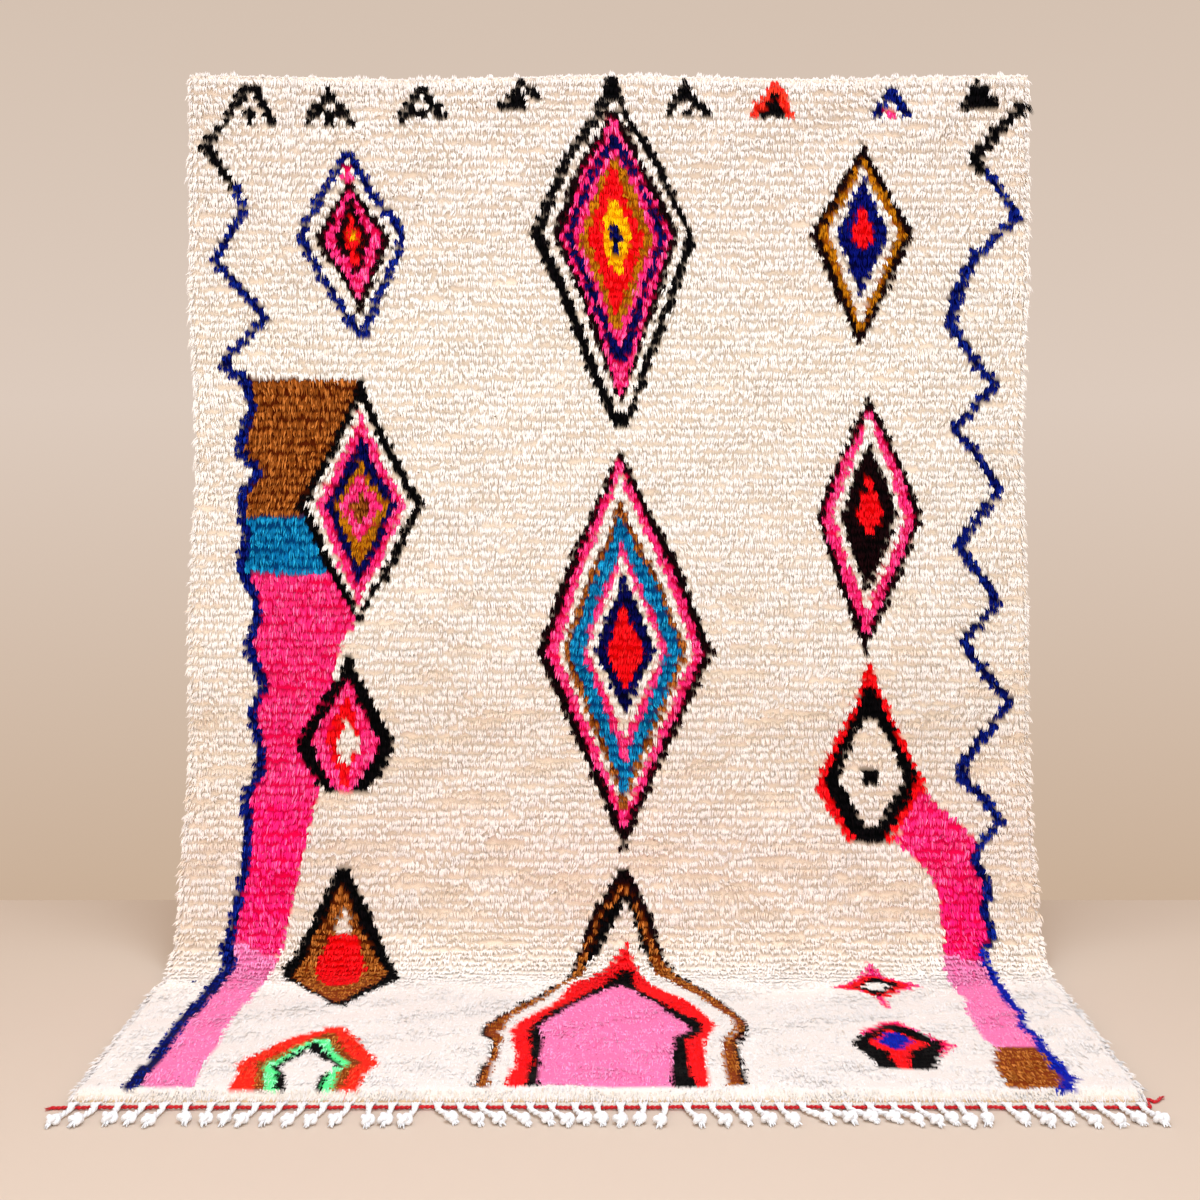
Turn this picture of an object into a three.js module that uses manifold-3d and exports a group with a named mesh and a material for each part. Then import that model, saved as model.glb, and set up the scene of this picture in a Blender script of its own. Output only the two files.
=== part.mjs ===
// A knotted-pile wool rug, 2.0 m wide and 2.9 m long, hung by its top edge.
// It falls straight, leans forward near the floor, bends and lies flat in front.
// Millimetres, +Z up. The origin is the middle of the top edge, on the rug's back.
// The pile faces -Y where the rug hangs and +Z where it lies.

import * as THREE from "three";
import { mergeVertices } from "three/addons/utils/BufferGeometryUtils.js";
import Module from "manifold-3d";

const wasm = await Module();
wasm.setup();

// Driving dimensions of the rug
const RUG_WIDTH = 2000;
const GROUND = 4; // the woven ground under the pile
const PILE = 22; // the pile above the ground
const END_BAND = 28; // the plain woven band in front of the pile
const GAP = 0.3; // between neighbouring pieces

// The way that the rug takes from its top edge to the front of its pile: the length of each
// stretch, how far it turns from hanging (0 degrees) towards lying (90 degrees), and the
// steps that it is drawn in
const STRETCHES = [
  { name: "hang", length: 1555, turn: 0, steps: 32 },
  { name: "lean", length: 209, turn: 20, steps: 5 },
  { name: "slope", length: 230, turn: 0, steps: 5 },
  { name: "bend", length: 194, turn: 70, steps: 7 },
  { name: "floor", length: 684, turn: 0, steps: 17 },
];
const PILE_LENGTH = STRETCHES.reduce((sum, s) => sum + s.length, 0);
const LYING_FROM = PILE_LENGTH - STRETCHES.at(-1).length;
// The distances down from the top edge at which the pile's solids are drawn
const ROWS = STRETCHES.reduce(
  (rows, { length, steps }) => {
    const from = rows.at(-1);
    return [...rows, ...Array.from({ length: steps }, (_, i) => from + (length * (i + 1)) / steps)];
  },
  [0],
);

// Soft troughs (negative) and ridges (positive) of the hanging cloth, each a smooth hill
// centred across at u and down at v
const FOLDS = [
  { u: 10, v: 900, spanU: 70, spanV: 700, height: 6 },
  { u: -420, v: 1580, spanU: 360, spanV: 90, height: -9 },
  { u: -330, v: 1790, spanU: 420, spanV: 80, height: 10 },
  { u: 480, v: 1700, spanU: 330, spanV: 120, height: -7 },
  { u: -700, v: 1000, spanU: 260, spanV: 380, height: -6 },
  { u: 620, v: 760, spanU: 280, spanV: 420, height: 5 },
];

// The sides draw in a little half way down, where the cloth hangs free
const WAIST = { draw: 0.016, at: 870, span: 270 };
// The top edge rises and dips between the places where it is held
const TOP_WAVE = { height: 4.5, period: 950 };
// The front lip of the pile wanders to and fro
const LIP_WAVE = { depth: 5, period: 370 };
// Lumps of the pile's face
const LUMP = { height: 4.5, across: 250, along: 168 };

// The steps across the field: twice as many on the pile's face as on the back
const STEPS_ACROSS = 24;

// The strips at the rim, with locks of pile standing out of them
const STRIP = { width: 8, height: 12 };
const LOCK = { every: 50, root: 24, spread: 8 };

// The fringe: knotted warp ends on a narrow heading
const HEADING = { width: RUG_WIDTH - 30, depth: 12, height: 5 };
const TASSELS = { count: 48, margin: 14, length: 84 };
// How far the tassels lean, from left to right; a lean to the right is positive
const LEANS = [
  { count: 2, degrees: -13 },
  { count: 1, degrees: 0 },
  { count: 2, degrees: -9 },
  { count: 3, degrees: 10 },
  { count: 5, degrees: -13 },
  { count: 2, degrees: 18 },
  { count: 1, degrees: -12 },
  { count: 6, degrees: 30 },
  { count: 3, degrees: 18 },
  { count: 2, degrees: -8 },
  { count: 5, degrees: 16 },
  { count: 8, degrees: 36 },
  { count: 1, degrees: -4 },
  { count: 7, degrees: 15 },
];
const LEAN_DROP = 8; // a tassel leans at most this much further right than the next one

// A tassel's section along its length: a twisted rope, an overhand knot and a cut end
const TASSEL_SECTIONS = [
  { at: -0.04, width: 15, height: 4 },
  { at: 0.12, width: 12, height: 10 },
  { at: 0.54, width: 13, height: 12 },
  { at: 0.63, width: 20, height: 17 },
  { at: 0.74, width: 25, height: 20 },
  { at: 0.85, width: 18, height: 14 },
  { at: 1, width: 20, height: 6 },
];

// The red cord that is twined along the fringe heading
const CORD = { diameter: 5, inset: 4.5, wave: 1.2, wavePeriod: 41, sides: 6, steps: 84 };

const COLOURS = {
  wool: new THREE.MeshStandardMaterial({ color: "#f3e6d6", roughness: 0.95, metalness: 0 }),
  cotton: new THREE.MeshStandardMaterial({ color: "#f4f2ef", roughness: 0.9, metalness: 0 }),
  red: new THREE.MeshStandardMaterial({ color: "#c81a26", roughness: 0.85, metalness: 0 }),
};

const smooth = (t) => {
  const x = THREE.MathUtils.clamp(t, 0, 1);
  return x * x * (3 - 2 * x);
};

// The same number between 0 and 1 for the same two numbers, spread like chance
const chance = (i, salt) => {
  const spread = Math.sin(i * 12.9898 + salt * 78.233) * 43758.5453;
  return spread - Math.floor(spread);
};

// The underside of the rug at a distance v down from the top edge: its place, the way that
// it runs (down) and the way that its pile faces (out)
function wayAt(v) {
  let y = 0;
  let z = 0;
  let tilt = 0;
  let left = v;
  for (const [i, stretch] of STRETCHES.entries()) {
    const last = i === STRETCHES.length - 1;
    const run = last ? left : Math.min(left, stretch.length);
    const curve = THREE.MathUtils.degToRad(stretch.turn) / stretch.length;
    const end = tilt + curve * run;
    if (curve) {
      y -= (Math.cos(tilt) - Math.cos(end)) / curve;
      z -= (Math.sin(end) - Math.sin(tilt)) / curve;
    } else {
      y -= Math.sin(tilt) * run;
      z -= Math.cos(tilt) * run;
    }
    tilt = end;
    left -= run;
    if (left <= 0) break;
  }
  return {
    place: new THREE.Vector3(0, y, z),
    down: new THREE.Vector3(0, -Math.sin(tilt), -Math.cos(tilt)),
    out: new THREE.Vector3(0, -Math.cos(tilt), Math.sin(tilt)),
  };
}

const FLOOR = wayAt(LYING_FROM).place.z;
const FRONT = wayAt(PILE_LENGTH + END_BAND).place.y;

// How far the cloth stands off its plain way: the soft folds, which end before the floor
function foldAt(u, v) {
  const hill = (f) => f.height * Math.exp(-(((u - f.u) / f.spanU) ** 2) - ((v - f.v) / f.spanV) ** 2);
  const free = 1 - smooth((v - LYING_FROM + 260) / 180);
  return free * FOLDS.reduce((sum, f) => sum + hill(f), 0);
}

// A point of the rug: u across, v down, and a height above the underside
function rugPoint(u, v, height) {
  const way = wayAt(Math.max(v, 0));
  return way.place
    .clone()
    .addScaledVector(way.out, height + foldAt(u, v))
    .addScaledVector(way.down, Math.min(v, 0))
    .setX(u * (1 - WAIST.draw * Math.exp(-(((v - WAIST.at) / WAIST.span) ** 2))));
}

// The pile's lumps, a few millimetres up and down
function lumpAt(u, v) {
  const across = Math.sin((2 * Math.PI * u) / LUMP.across + 2.2 * Math.sin(v / 131));
  const along = Math.sin((2 * Math.PI * v) / LUMP.along + 1.7 * Math.sin(u / 173));
  return LUMP.height * (0.6 * across * along + 0.4 * Math.sin(u / 61 + v / 47));
}

// The same surface with its faces pointing the other way
const reversed = (index) => index.map((_, i) => index[i - (i % 3) + 2 - (i % 3)]);

// Six times the volume inside a closed surface, below zero where its faces point inwards
function sixVolumes(points, index) {
  let sum = 0;
  for (let i = 0; i < index.length; i += 3) {
    const [a, b, c] = [points[index[i]], points[index[i + 1]], points[index[i + 2]]];
    sum += a.dot(b.clone().cross(c));
  }
  return sum;
}

// A closed solid lofted through rings of equal length, ending in the point tip where one is
// given; outline gives the ring's shape in its own plane, for the ends
function loft(rings, outline, tip) {
  const around = rings[0].length;
  const points = tip ? [...rings.flat(), tip] : rings.flat();
  const index = [];
  for (let r = 0; r + 1 < rings.length; r++) {
    for (let k = 0; k < around; k++) {
      const a = r * around + k;
      const b = r * around + ((k + 1) % around);
      index.push(a, b, b + around, a, b + around, a + around);
    }
  }
  const end = (rings.length - 1) * around;
  for (const [a, b, c] of THREE.ShapeUtils.triangulateShape(outline, [])) {
    index.push(a, c, b);
    if (!tip) index.push(end + a, end + b, end + c);
  }
  if (tip) {
    for (let k = 0; k < around; k++) index.push(end + k, end + ((k + 1) % around), points.length - 1);
  }
  const position = points.flatMap((p) => [p.x, p.y, p.z]);
  const made = new THREE.BufferGeometry();
  made.setAttribute("position", new THREE.Float32BufferAttribute(position, 3));
  made.setIndex(sixVolumes(points, index) < 0 ? reversed(index) : index);
  return made;
}

// Geometry of three.js as a solid that can be joined, and back
function solidOf(geometry) {
  const bare = geometry.clone();
  bare.deleteAttribute("normal");
  bare.deleteAttribute("uv");
  const merged = mergeVertices(bare, 1e-3);
  const mesh = new wasm.Mesh({
    numProp: 3,
    vertProperties: merged.attributes.position.array,
    triVerts: new Uint32Array(merged.index.array),
  });
  return new wasm.Manifold(mesh);
}

function geometryOf(solid) {
  const mesh = solid.getMesh();
  const made = new THREE.BufferGeometry();
  made.setAttribute("position", new THREE.Float32BufferAttribute(mesh.vertProperties, 3));
  made.setIndex([...mesh.triVerts]);
  return made;
}

const joined = (parts) => geometryOf(parts.map(solidOf).reduce((sum, part) => sum.add(part)));

// The field: woven ground, lumpy pile and the plain band in front of the lip, in one piece
function fieldGeometry() {
  const half = RUG_WIDTH / 2 - STRIP.width - GAP;
  const step = (2 * half) / STEPS_ACROSS;
  const columns = Array.from({ length: STEPS_ACROSS + 1 }, (_, i) => half - step * i);
  const backColumns = columns.filter((_, i) => i % 2 === 0).reverse();
  const pileRows = ROWS.slice(0, -1).map((v) => ({ v, pile: 1 }));
  const lipRows = [
    { v: PILE_LENGTH - 12, pile: 0.92, lip: 1 },
    { v: PILE_LENGTH, pile: 0.35, lip: 1 },
    { v: PILE_LENGTH + 2, pile: 0, lip: 1 },
    { v: PILE_LENGTH + END_BAND, pile: 0 },
  ];
  const ring = ({ v, pile, lip = 0 }) => {
    const top = columns.map((u, i) => {
      const rim = i === 0 || i === STEPS_ACROSS ? 0.7 : 1;
      const phase = (2 * Math.PI * u) / LIP_WAVE.period + Math.sin(u / 290);
      const wander = lip * LIP_WAVE.depth * Math.sin(phase);
      return rugPoint(u, v + wander, GROUND + pile * rim * (PILE + lumpAt(u, v)));
    });
    return [...backColumns.map((u) => rugPoint(u, v, 0)), ...top];
  };
  const outline = [
    ...backColumns.map((u) => new THREE.Vector2(u, 0)),
    ...columns.map((u) => new THREE.Vector2(u, GROUND)),
  ];
  return loft([...pileRows, ...lipRows].map(ring), outline);
}

// A strip of the rim with its locks, drawn in steps that end at the stations. edge(s, out, up)
// gives a point at a distance s along the strip, out from the cloth and up from its underside
function lockStrip(stations, edge, salt) {
  const corners = [
    [0, 0],
    [STRIP.width, 0],
    [STRIP.width, STRIP.height],
    [0, STRIP.height],
  ];
  const [from, to] = [stations[0], stations.at(-1)];
  const outline = corners.map(([out, up]) => new THREE.Vector2(out, up));
  const strip = loft(
    stations.map((s) => corners.map(([out, up]) => edge(s, out, up))),
    outline,
  );
  const count = Math.floor((to - from) / LOCK.every);
  const locks = Array.from({ length: count }, (_, i) => {
    const s = from + ((to - from) * (i + 0.5)) / count;
    return lockGeometry(s, edge, i + salt);
  });
  return joined([strip, ...locks]);
}

// One lock: a three-sided tuft that stands out of the strip, leans down and comes to a point
function lockGeometry(s, edge, i) {
  const fall = 12 + 8 * chance(i, 1);
  const reach = STRIP.width + LOCK.spread * (0.5 + 0.7 * chance(i, 2));
  const height = GROUND + PILE * (0.55 + 0.4 * chance(i, 3));
  const width = LOCK.root * (0.8 + 0.35 * chance(i, 4));
  const root = [
    edge(s - width / 2, STRIP.width * 0.3, STRIP.height * 0.3),
    edge(s + width / 2, STRIP.width * 0.3, STRIP.height * 0.3),
    edge(s, STRIP.width * 0.3, STRIP.height * 0.9),
  ];
  const middle = [
    edge(s - width / 2 + fall * 0.3, STRIP.width + 2.5, STRIP.height * 0.35),
    edge(s + width / 2 + fall * 0.3, STRIP.width + 2.5, STRIP.height * 0.35),
    edge(s + fall * 0.3, STRIP.width * 0.5, height * 0.85),
  ];
  const outline = [new THREE.Vector2(0, 0), new THREE.Vector2(1, 0), new THREE.Vector2(0.5, 1)];
  return loft([root, middle], outline, edge(s + fall, reach, height));
}

// The rim of one side, as four strips: hanging, sloping, bending and lying
function sideStrips(side, name) {
  const slopeFrom = STRETCHES[0].length;
  const bendFrom = slopeFrom + STRETCHES[1].length + STRETCHES[2].length;
  const cuts = [
    { part: "hang", from: 0, to: slopeFrom },
    { part: "slope", from: slopeFrom + GAP, to: bendFrom },
    { part: "bend", from: bendFrom + GAP, to: LYING_FROM },
    { part: "floor", from: LYING_FROM + GAP, to: PILE_LENGTH },
  ];
  return cuts.map(({ part, from, to }, n) => {
    const inner = RUG_WIDTH / 2 - STRIP.width;
    const edge = (s, out, up) => rugPoint(side * (inner + out), s, up);
    const stations = [from, ...ROWS.filter((v) => v > from + 1 && v < to - 1), to];
    const geometry = lockStrip(stations, edge, 40 * n + (side > 0 ? 200 : 0));
    return wovenMesh(`${name}_locks_${part}`, geometry, COLOURS.wool);
  });
}

// The rim along the top, its locks standing up and its outer edge wavy
function topStrip() {
  const half = RUG_WIDTH / 2;
  const wave = (s) => 1 + (TOP_WAVE.height / STRIP.width) * Math.cos((2 * Math.PI * s) / TOP_WAVE.period);
  const edge = (s, out, up) => rugPoint(s, -GAP - out * wave(s), up);
  const step = (2 * half) / STEPS_ACROSS;
  const stations = Array.from({ length: STEPS_ACROSS + 1 }, (_, i) => -half + step * i);
  return wovenMesh("top_locks", lockStrip(stations, edge, 400), COLOURS.wool);
}

// The lean of each tassel, in degrees: none leans much further right than the next one, so
// that they stand apart
function tasselLeans() {
  const leans = LEANS.flatMap(({ count, degrees }) => Array(count).fill(degrees));
  for (let i = leans.length - 2; i >= 0; i--) leans[i] = Math.min(leans[i], leans[i + 1] + LEAN_DROP);
  return leans;
}

// A tassel that lies on the floor: it leaves the heading straight and turns to its lean
function tasselGeometry(x, lean, length) {
  const angle = THREE.MathUtils.degToRad(lean);
  const rings = TASSEL_SECTIONS.map(({ at, width, height }) => {
    const turned = angle * smooth(at * 2.5);
    const along = at * length;
    const centre = new THREE.Vector3(
      x + along * Math.sin(angle) * smooth(at * 1.6),
      FRONT - HEADING.depth - along * Math.cos(angle * 0.9),
      FLOOR,
    );
    const aside = new THREE.Vector3(Math.cos(turned), Math.sin(turned), 0);
    const corner = (share, up) => centre.clone().addScaledVector(aside, share * width).setZ(FLOOR + up);
    return [corner(-0.5, 0), corner(0.5, 0), corner(0.36, height), corner(-0.36, height)];
  });
  const outline = [
    new THREE.Vector2(-0.5, 0),
    new THREE.Vector2(0.5, 0),
    new THREE.Vector2(0.36, 1),
    new THREE.Vector2(-0.36, 1),
  ];
  return loft(rings, outline);
}

// The fringe: the heading across the front, and the tassels rooted in it
function fringeGeometry() {
  const heading = new THREE.BoxGeometry(HEADING.width, HEADING.depth - GAP, HEADING.height);
  heading.translate(0, FRONT - GAP - (HEADING.depth - GAP) / 2, FLOOR + HEADING.height / 2);
  const span = RUG_WIDTH - 2 * TASSELS.margin;
  const tassels = tasselLeans().map((lean, i) => {
    const x = -span / 2 + (span * i) / (TASSELS.count - 1) + 5 * (chance(i, 5) - 0.5);
    return tasselGeometry(x, lean, TASSELS.length * (0.9 + 0.2 * chance(i, 6)));
  });
  return joined([heading, ...tassels]);
}

// The red cord lies on the heading and its two ends come down to the floor past the corners
function cordGeometry() {
  const y = FRONT - GAP - CORD.inset;
  const onHeading = FLOOR + HEADING.height + GAP + CORD.diameter / 2;
  const onFloor = FLOOR + GAP + CORD.diameter / 2;
  const half = RUG_WIDTH / 2;
  const count = Math.round(RUG_WIDTH / (CORD.wavePeriod / 2));
  const held = Array.from({ length: count + 1 }, (_, i) => {
    const x = -half + (RUG_WIDTH * i) / count;
    return new THREE.Vector3(x, y + CORD.wave * (i % 2 ? 1 : -1), onHeading);
  });
  const leftEnd = [
    new THREE.Vector3(-half - 38, y + 3, onFloor),
    new THREE.Vector3(-half - 18, y + 1, onFloor),
  ];
  const rightEnd = [
    new THREE.Vector3(half + 19, y + 12, onFloor),
    new THREE.Vector3(half + 27, y + 42, onFloor),
    new THREE.Vector3(half + 29, y + 85, onFloor),
    new THREE.Vector3(half + 42, y + 122, onFloor),
  ];
  const route = new THREE.CatmullRomCurve3([...leftEnd, ...held, ...rightEnd], false, "centripetal");
  const section = new THREE.Shape(
    Array.from({ length: CORD.sides }, (_, k) => {
      const angle = (2 * Math.PI * k) / CORD.sides;
      return new THREE.Vector2(Math.cos(angle), Math.sin(angle)).multiplyScalar(CORD.diameter / 2);
    }),
  );
  return new THREE.ExtrudeGeometry(section, { steps: CORD.steps, extrudePath: route, bevelEnabled: false });
}

function wovenMesh(name, geometry, material) {
  const mesh = new THREE.Mesh(geometry, material);
  mesh.name = name;
  return mesh;
}

const rug = new THREE.Group();
rug.add(wovenMesh("field", fieldGeometry(), COLOURS.wool));
rug.add(topStrip(), ...sideStrips(-1, "left"), ...sideStrips(1, "right"));
rug.add(wovenMesh("fringe", fringeGeometry(), COLOURS.cotton));
rug.add(wovenMesh("red_cord", cordGeometry(), COLOURS.red));

export default rug;
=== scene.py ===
"""The looks of a knotted-pile wool rug that hangs by its top edge and lies forward on the floor.

Metres, +Z up. The origin is the middle of the top edge, on the rug's back. The pile faces -Y
where the rug hangs and +Z where it lies. Places on the rug are u across and v down the cloth.
"""

import math

import bpy
import numpy as np
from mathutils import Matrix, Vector


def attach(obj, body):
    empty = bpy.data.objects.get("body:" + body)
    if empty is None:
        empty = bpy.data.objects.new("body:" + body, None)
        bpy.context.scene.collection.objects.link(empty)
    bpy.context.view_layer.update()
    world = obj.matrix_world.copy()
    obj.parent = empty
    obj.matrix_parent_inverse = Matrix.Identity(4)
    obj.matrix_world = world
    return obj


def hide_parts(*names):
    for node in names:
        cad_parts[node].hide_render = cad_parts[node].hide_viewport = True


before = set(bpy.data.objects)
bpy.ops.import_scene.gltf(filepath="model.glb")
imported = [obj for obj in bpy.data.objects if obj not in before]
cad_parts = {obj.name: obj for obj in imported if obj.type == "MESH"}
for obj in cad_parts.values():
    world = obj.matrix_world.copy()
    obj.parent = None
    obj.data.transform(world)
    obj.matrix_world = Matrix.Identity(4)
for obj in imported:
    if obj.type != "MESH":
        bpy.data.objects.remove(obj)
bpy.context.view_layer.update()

# The rug's sizes, the same as its solids have
RUG_WIDTH = 2.0
GROUND = 0.004
END_BAND = 0.028
END_CREASE_AT = 0.010
# Length and turn in degrees of each stretch: hanging, leaning, sloping, bending, lying
STRETCHES = [(1.555, 0), (0.209, 20), (0.230, 0), (0.194, 70), (0.684, 0)]
PILE_LENGTH = sum(length for length, _ in STRETCHES)
LYING_FROM = PILE_LENGTH - STRETCHES[-1][0]
# Soft troughs (negative) and ridges: across, down, reach across, reach down, height
FOLDS = [
    (0.01, 0.90, 0.07, 0.70, 0.006),
    (-0.42, 1.58, 0.36, 0.09, -0.009),
    (-0.33, 1.79, 0.42, 0.08, 0.010),
    (0.48, 1.70, 0.33, 0.12, -0.007),
    (-0.70, 1.00, 0.26, 0.38, -0.006),
    (0.62, 0.76, 0.28, 0.42, 0.005),
]
WAIST_DRAW = 0.016
WAIST_AT = 0.870
WAIST_SPAN = 0.270
TOP_WAVE = 0.0045
TOP_WAVE_PERIOD = 0.950
LUMP = 0.0045

# The pile: knots across, rows of knots down, and tufts of yarn in each knot. A tuft's heights, at
# its root, its back and its tip, are out of the rug's underside
KNOTS_ACROSS = 172
KNOT_ROWS = 148
TUFTS_IN_KNOT = 5
KNOT = RUG_WIDTH / KNOTS_ACROSS
ROW = PILE_LENGTH / KNOT_ROWS
TUFT_ROOT = 0.006
TUFT_BACK = 0.0205
TUFT_BACK_LYING = 0.0187
TUFT_TIP = 0.0188
FRONT_TUFT = 0.0195
TUFT_WIDTH = 0.0023
TUFT_DEPTH = 0.0017
RIM_TUFT_WIDTH = 0.0020
TUFTS_ALONG_ROW_END = 11
TUFTS_ABOVE_KNOT = 8
TUFTS_BEFORE_KNOT = 9
TOP_CLUMP = 0.021
# Height of the pile's feet, which fill up where the pile lies on the floor
UNDER_PILE = 0.0108
UNDER_PILE_LYING = 0.0187
# How far below its knot a tuft's colour shows, at distances down
REACH_AT = [(0.0, 0.013), (0.3, 0.0145), (2.0, 0.013), (2.2, 0.018), (2.87, 0.025)]

# The fringe. Thickness is given as a radius, and a twist as the length of one turn
HEADING_DEPTH = 0.012
HEADING_CORD = 0.0017
TASSELS = 48
TASSEL_MARGIN = 0.014
TASSEL_LENGTH = 0.084
LEAN_DROP = 8
WARP_ENDS = 6
WARP_END_SPACING = 0.0034
WARP_END = 0.0027
ROPE_PLY = 0.0033
ROPE_OFFSET = 0.0026
ROPE_TWIST = 0.026
TASSEL_KNOT_STRAND = 0.0055
TASSEL_KNOT_LOBE = 0.0033
FRAYED_THREADS = 9
# Shares of a tassel's length: where its warp ends meet, its rope, and the middle of its knot
GATHERED_AT = 0.16
ROPE_FROM = 0.02
ROPE_TO = 0.66
TASSEL_KNOT_AT = 0.76
# How many tassels lean by how many degrees, from left to right
LEANS = [
    (2, -13), (1, 0), (2, -9), (3, 10), (5, -13), (2, 18), (1, -12),
    (6, 30), (3, 18), (2, -8), (5, 16), (8, 36), (1, -4), (7, 15),
]

# The red yarn: how far it lies in front of the cloth's edge, its heights over the floor where it
# is held and where it is loose, the places that hold it, its plies, and the threads of its ends
RED_FORWARD = 0.0105
RED_HELD_HEIGHT = 0.0044
RED_LOOSE_HEIGHT = 0.0030
RED_HOLDS = 97
RED_PLY = 0.0022
RED_PLY_OFFSET = 0.0017
RED_TWIST = 0.019
RED_END_THREADS = 14

# Yarn colours as they look in soft light, each with the paler or darker yarn spun into it and
# the share of the tufts that show it
YARNS = {
    "cream": ((248, 240, 230), (238, 222, 203), 0.14),
    "black": ((3, 2, 3), (16, 8, 10), 0.20),
    "maroon": ((27, 2, 5), (13, 2, 4), 0.30),
    "navy": ((2, 3, 64), (8, 16, 96), 0.30),
    "deep_blue": ((2, 9, 92), (8, 24, 120), 0.30),
    "blue": ((3, 13, 94), (20, 48, 146), 0.22),
    "bright_blue": ((14, 44, 176), (8, 22, 124), 0.30),
    "teal": ((1, 106, 155), (40, 172, 212), 0.28),
    "hot_pink": ((245, 31, 114), (255, 120, 170), 0.22),
    "red_pink": ((248, 12, 110), (255, 100, 160), 0.18),
    "light_pink": ((246, 150, 190), (240, 104, 156), 0.26),
    "red": ((238, 6, 20), (250, 40, 42), 0.20),
    "bright_red": ((248, 34, 40), (232, 10, 24), 0.25),
    "orange_red": ((248, 66, 40), (230, 30, 30), 0.25),
    "brown": ((128, 64, 13), (204, 124, 56), 0.30),
    "tan": ((158, 86, 24), (208, 132, 62), 0.28),
    "ochre": ((192, 120, 10), (124, 78, 12), 0.25),
    "yellow": ((252, 190, 4), (236, 150, 4), 0.22),
    "green": ((124, 242, 166), (176, 244, 190), 0.25),
}
YARN_NAMES = list(YARNS)

# Motifs, charted in centimetres from the middle of the top edge.
# Nested diamonds: the middle line's place across at the top, at the widest row and at the
# bottom, the widest row, the outline, then each ring's yarn, half width, top and bottom. An
# outline is points of (way down, share of the half width): 0 is the top, 1 the widest row and
# 2 the bottom
PLAIN = [(0, 0), (1, 1), (2, 0)]
DIAMONDS = [
    ((-62.2, -61, -59), 38, PLAIN, [
        ("maroon", 9.3, 24, 55.4), ("hot_pink", 7.1, 26.4, 51.6), ("maroon", 4.4, 29, 46.8),
        ("red", 2.2, 32, 43.4), ("yellow", 1.3, 36.5, 38.6),
    ]),
    ((60.6, 60.5, 59.8), 36.6, PLAIN, [
        ("maroon", 12.5, 15.5, 64.4), ("ochre", 10.4, 18.4, 60.6), ("cream", 8.4, 21.4, 57.4),
        ("deep_blue", 6.3, 23.2, 51.8), ("red", 3.2, 30.6, 41),
    ]),
    ((-59.3, -59.1, -59.7), 101.3, [(0, 0), (0.47, 0.42), (1, 1), (1.5, 0.57), (2, 0)], [
        ("black", 15, 71.6, 130), ("cream", 12.6, 76.5, 126.6), ("hot_pink", 10.7, 79.6, 124.6),
        ("navy", 8.4, 84.8, 120), ("ochre", 6.4, 91.4, 116), ("hot_pink", 4.8, 93.6, 110.2),
        ("brown", 2.5, 98.2, 106.8),
    ]),
    ((62, 62.1, 61.2), 104.2, [(0, 0), (0.52, 0.58), (1, 1), (1.52, 0.54), (2, 0)], [
        ("maroon", 12.8, 75.3, 136.4), ("hot_pink", 11.3, 78.2, 131.6), ("cream", 8.4, 81.4, 125.6),
        ("maroon", 6.7, 86, 122), ("red", 3.1, 95, 108),
    ]),
    ((2.5, 4, 3.5), 136.4, [(0, 0), (0.34, 0.37), (0.55, 0.61), (1, 1), (2, 0)], [
        ("maroon", 21.1, 87.8, 183.4), ("hot_pink", 18.8, 91.4, 178.8), ("cream", 16.2, 94.8, 175),
        ("brown", 14.9, 100.6, 173.4), ("teal", 13.5, 103.9, 169.6), ("hot_pink", 10.2, 111, 162),
        ("cream", 8.8, 114.7, 156.6), ("navy", 7.3, 118.4, 151), ("red", 4.5, 125.2, 144.6),
    ]),
]

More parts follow.
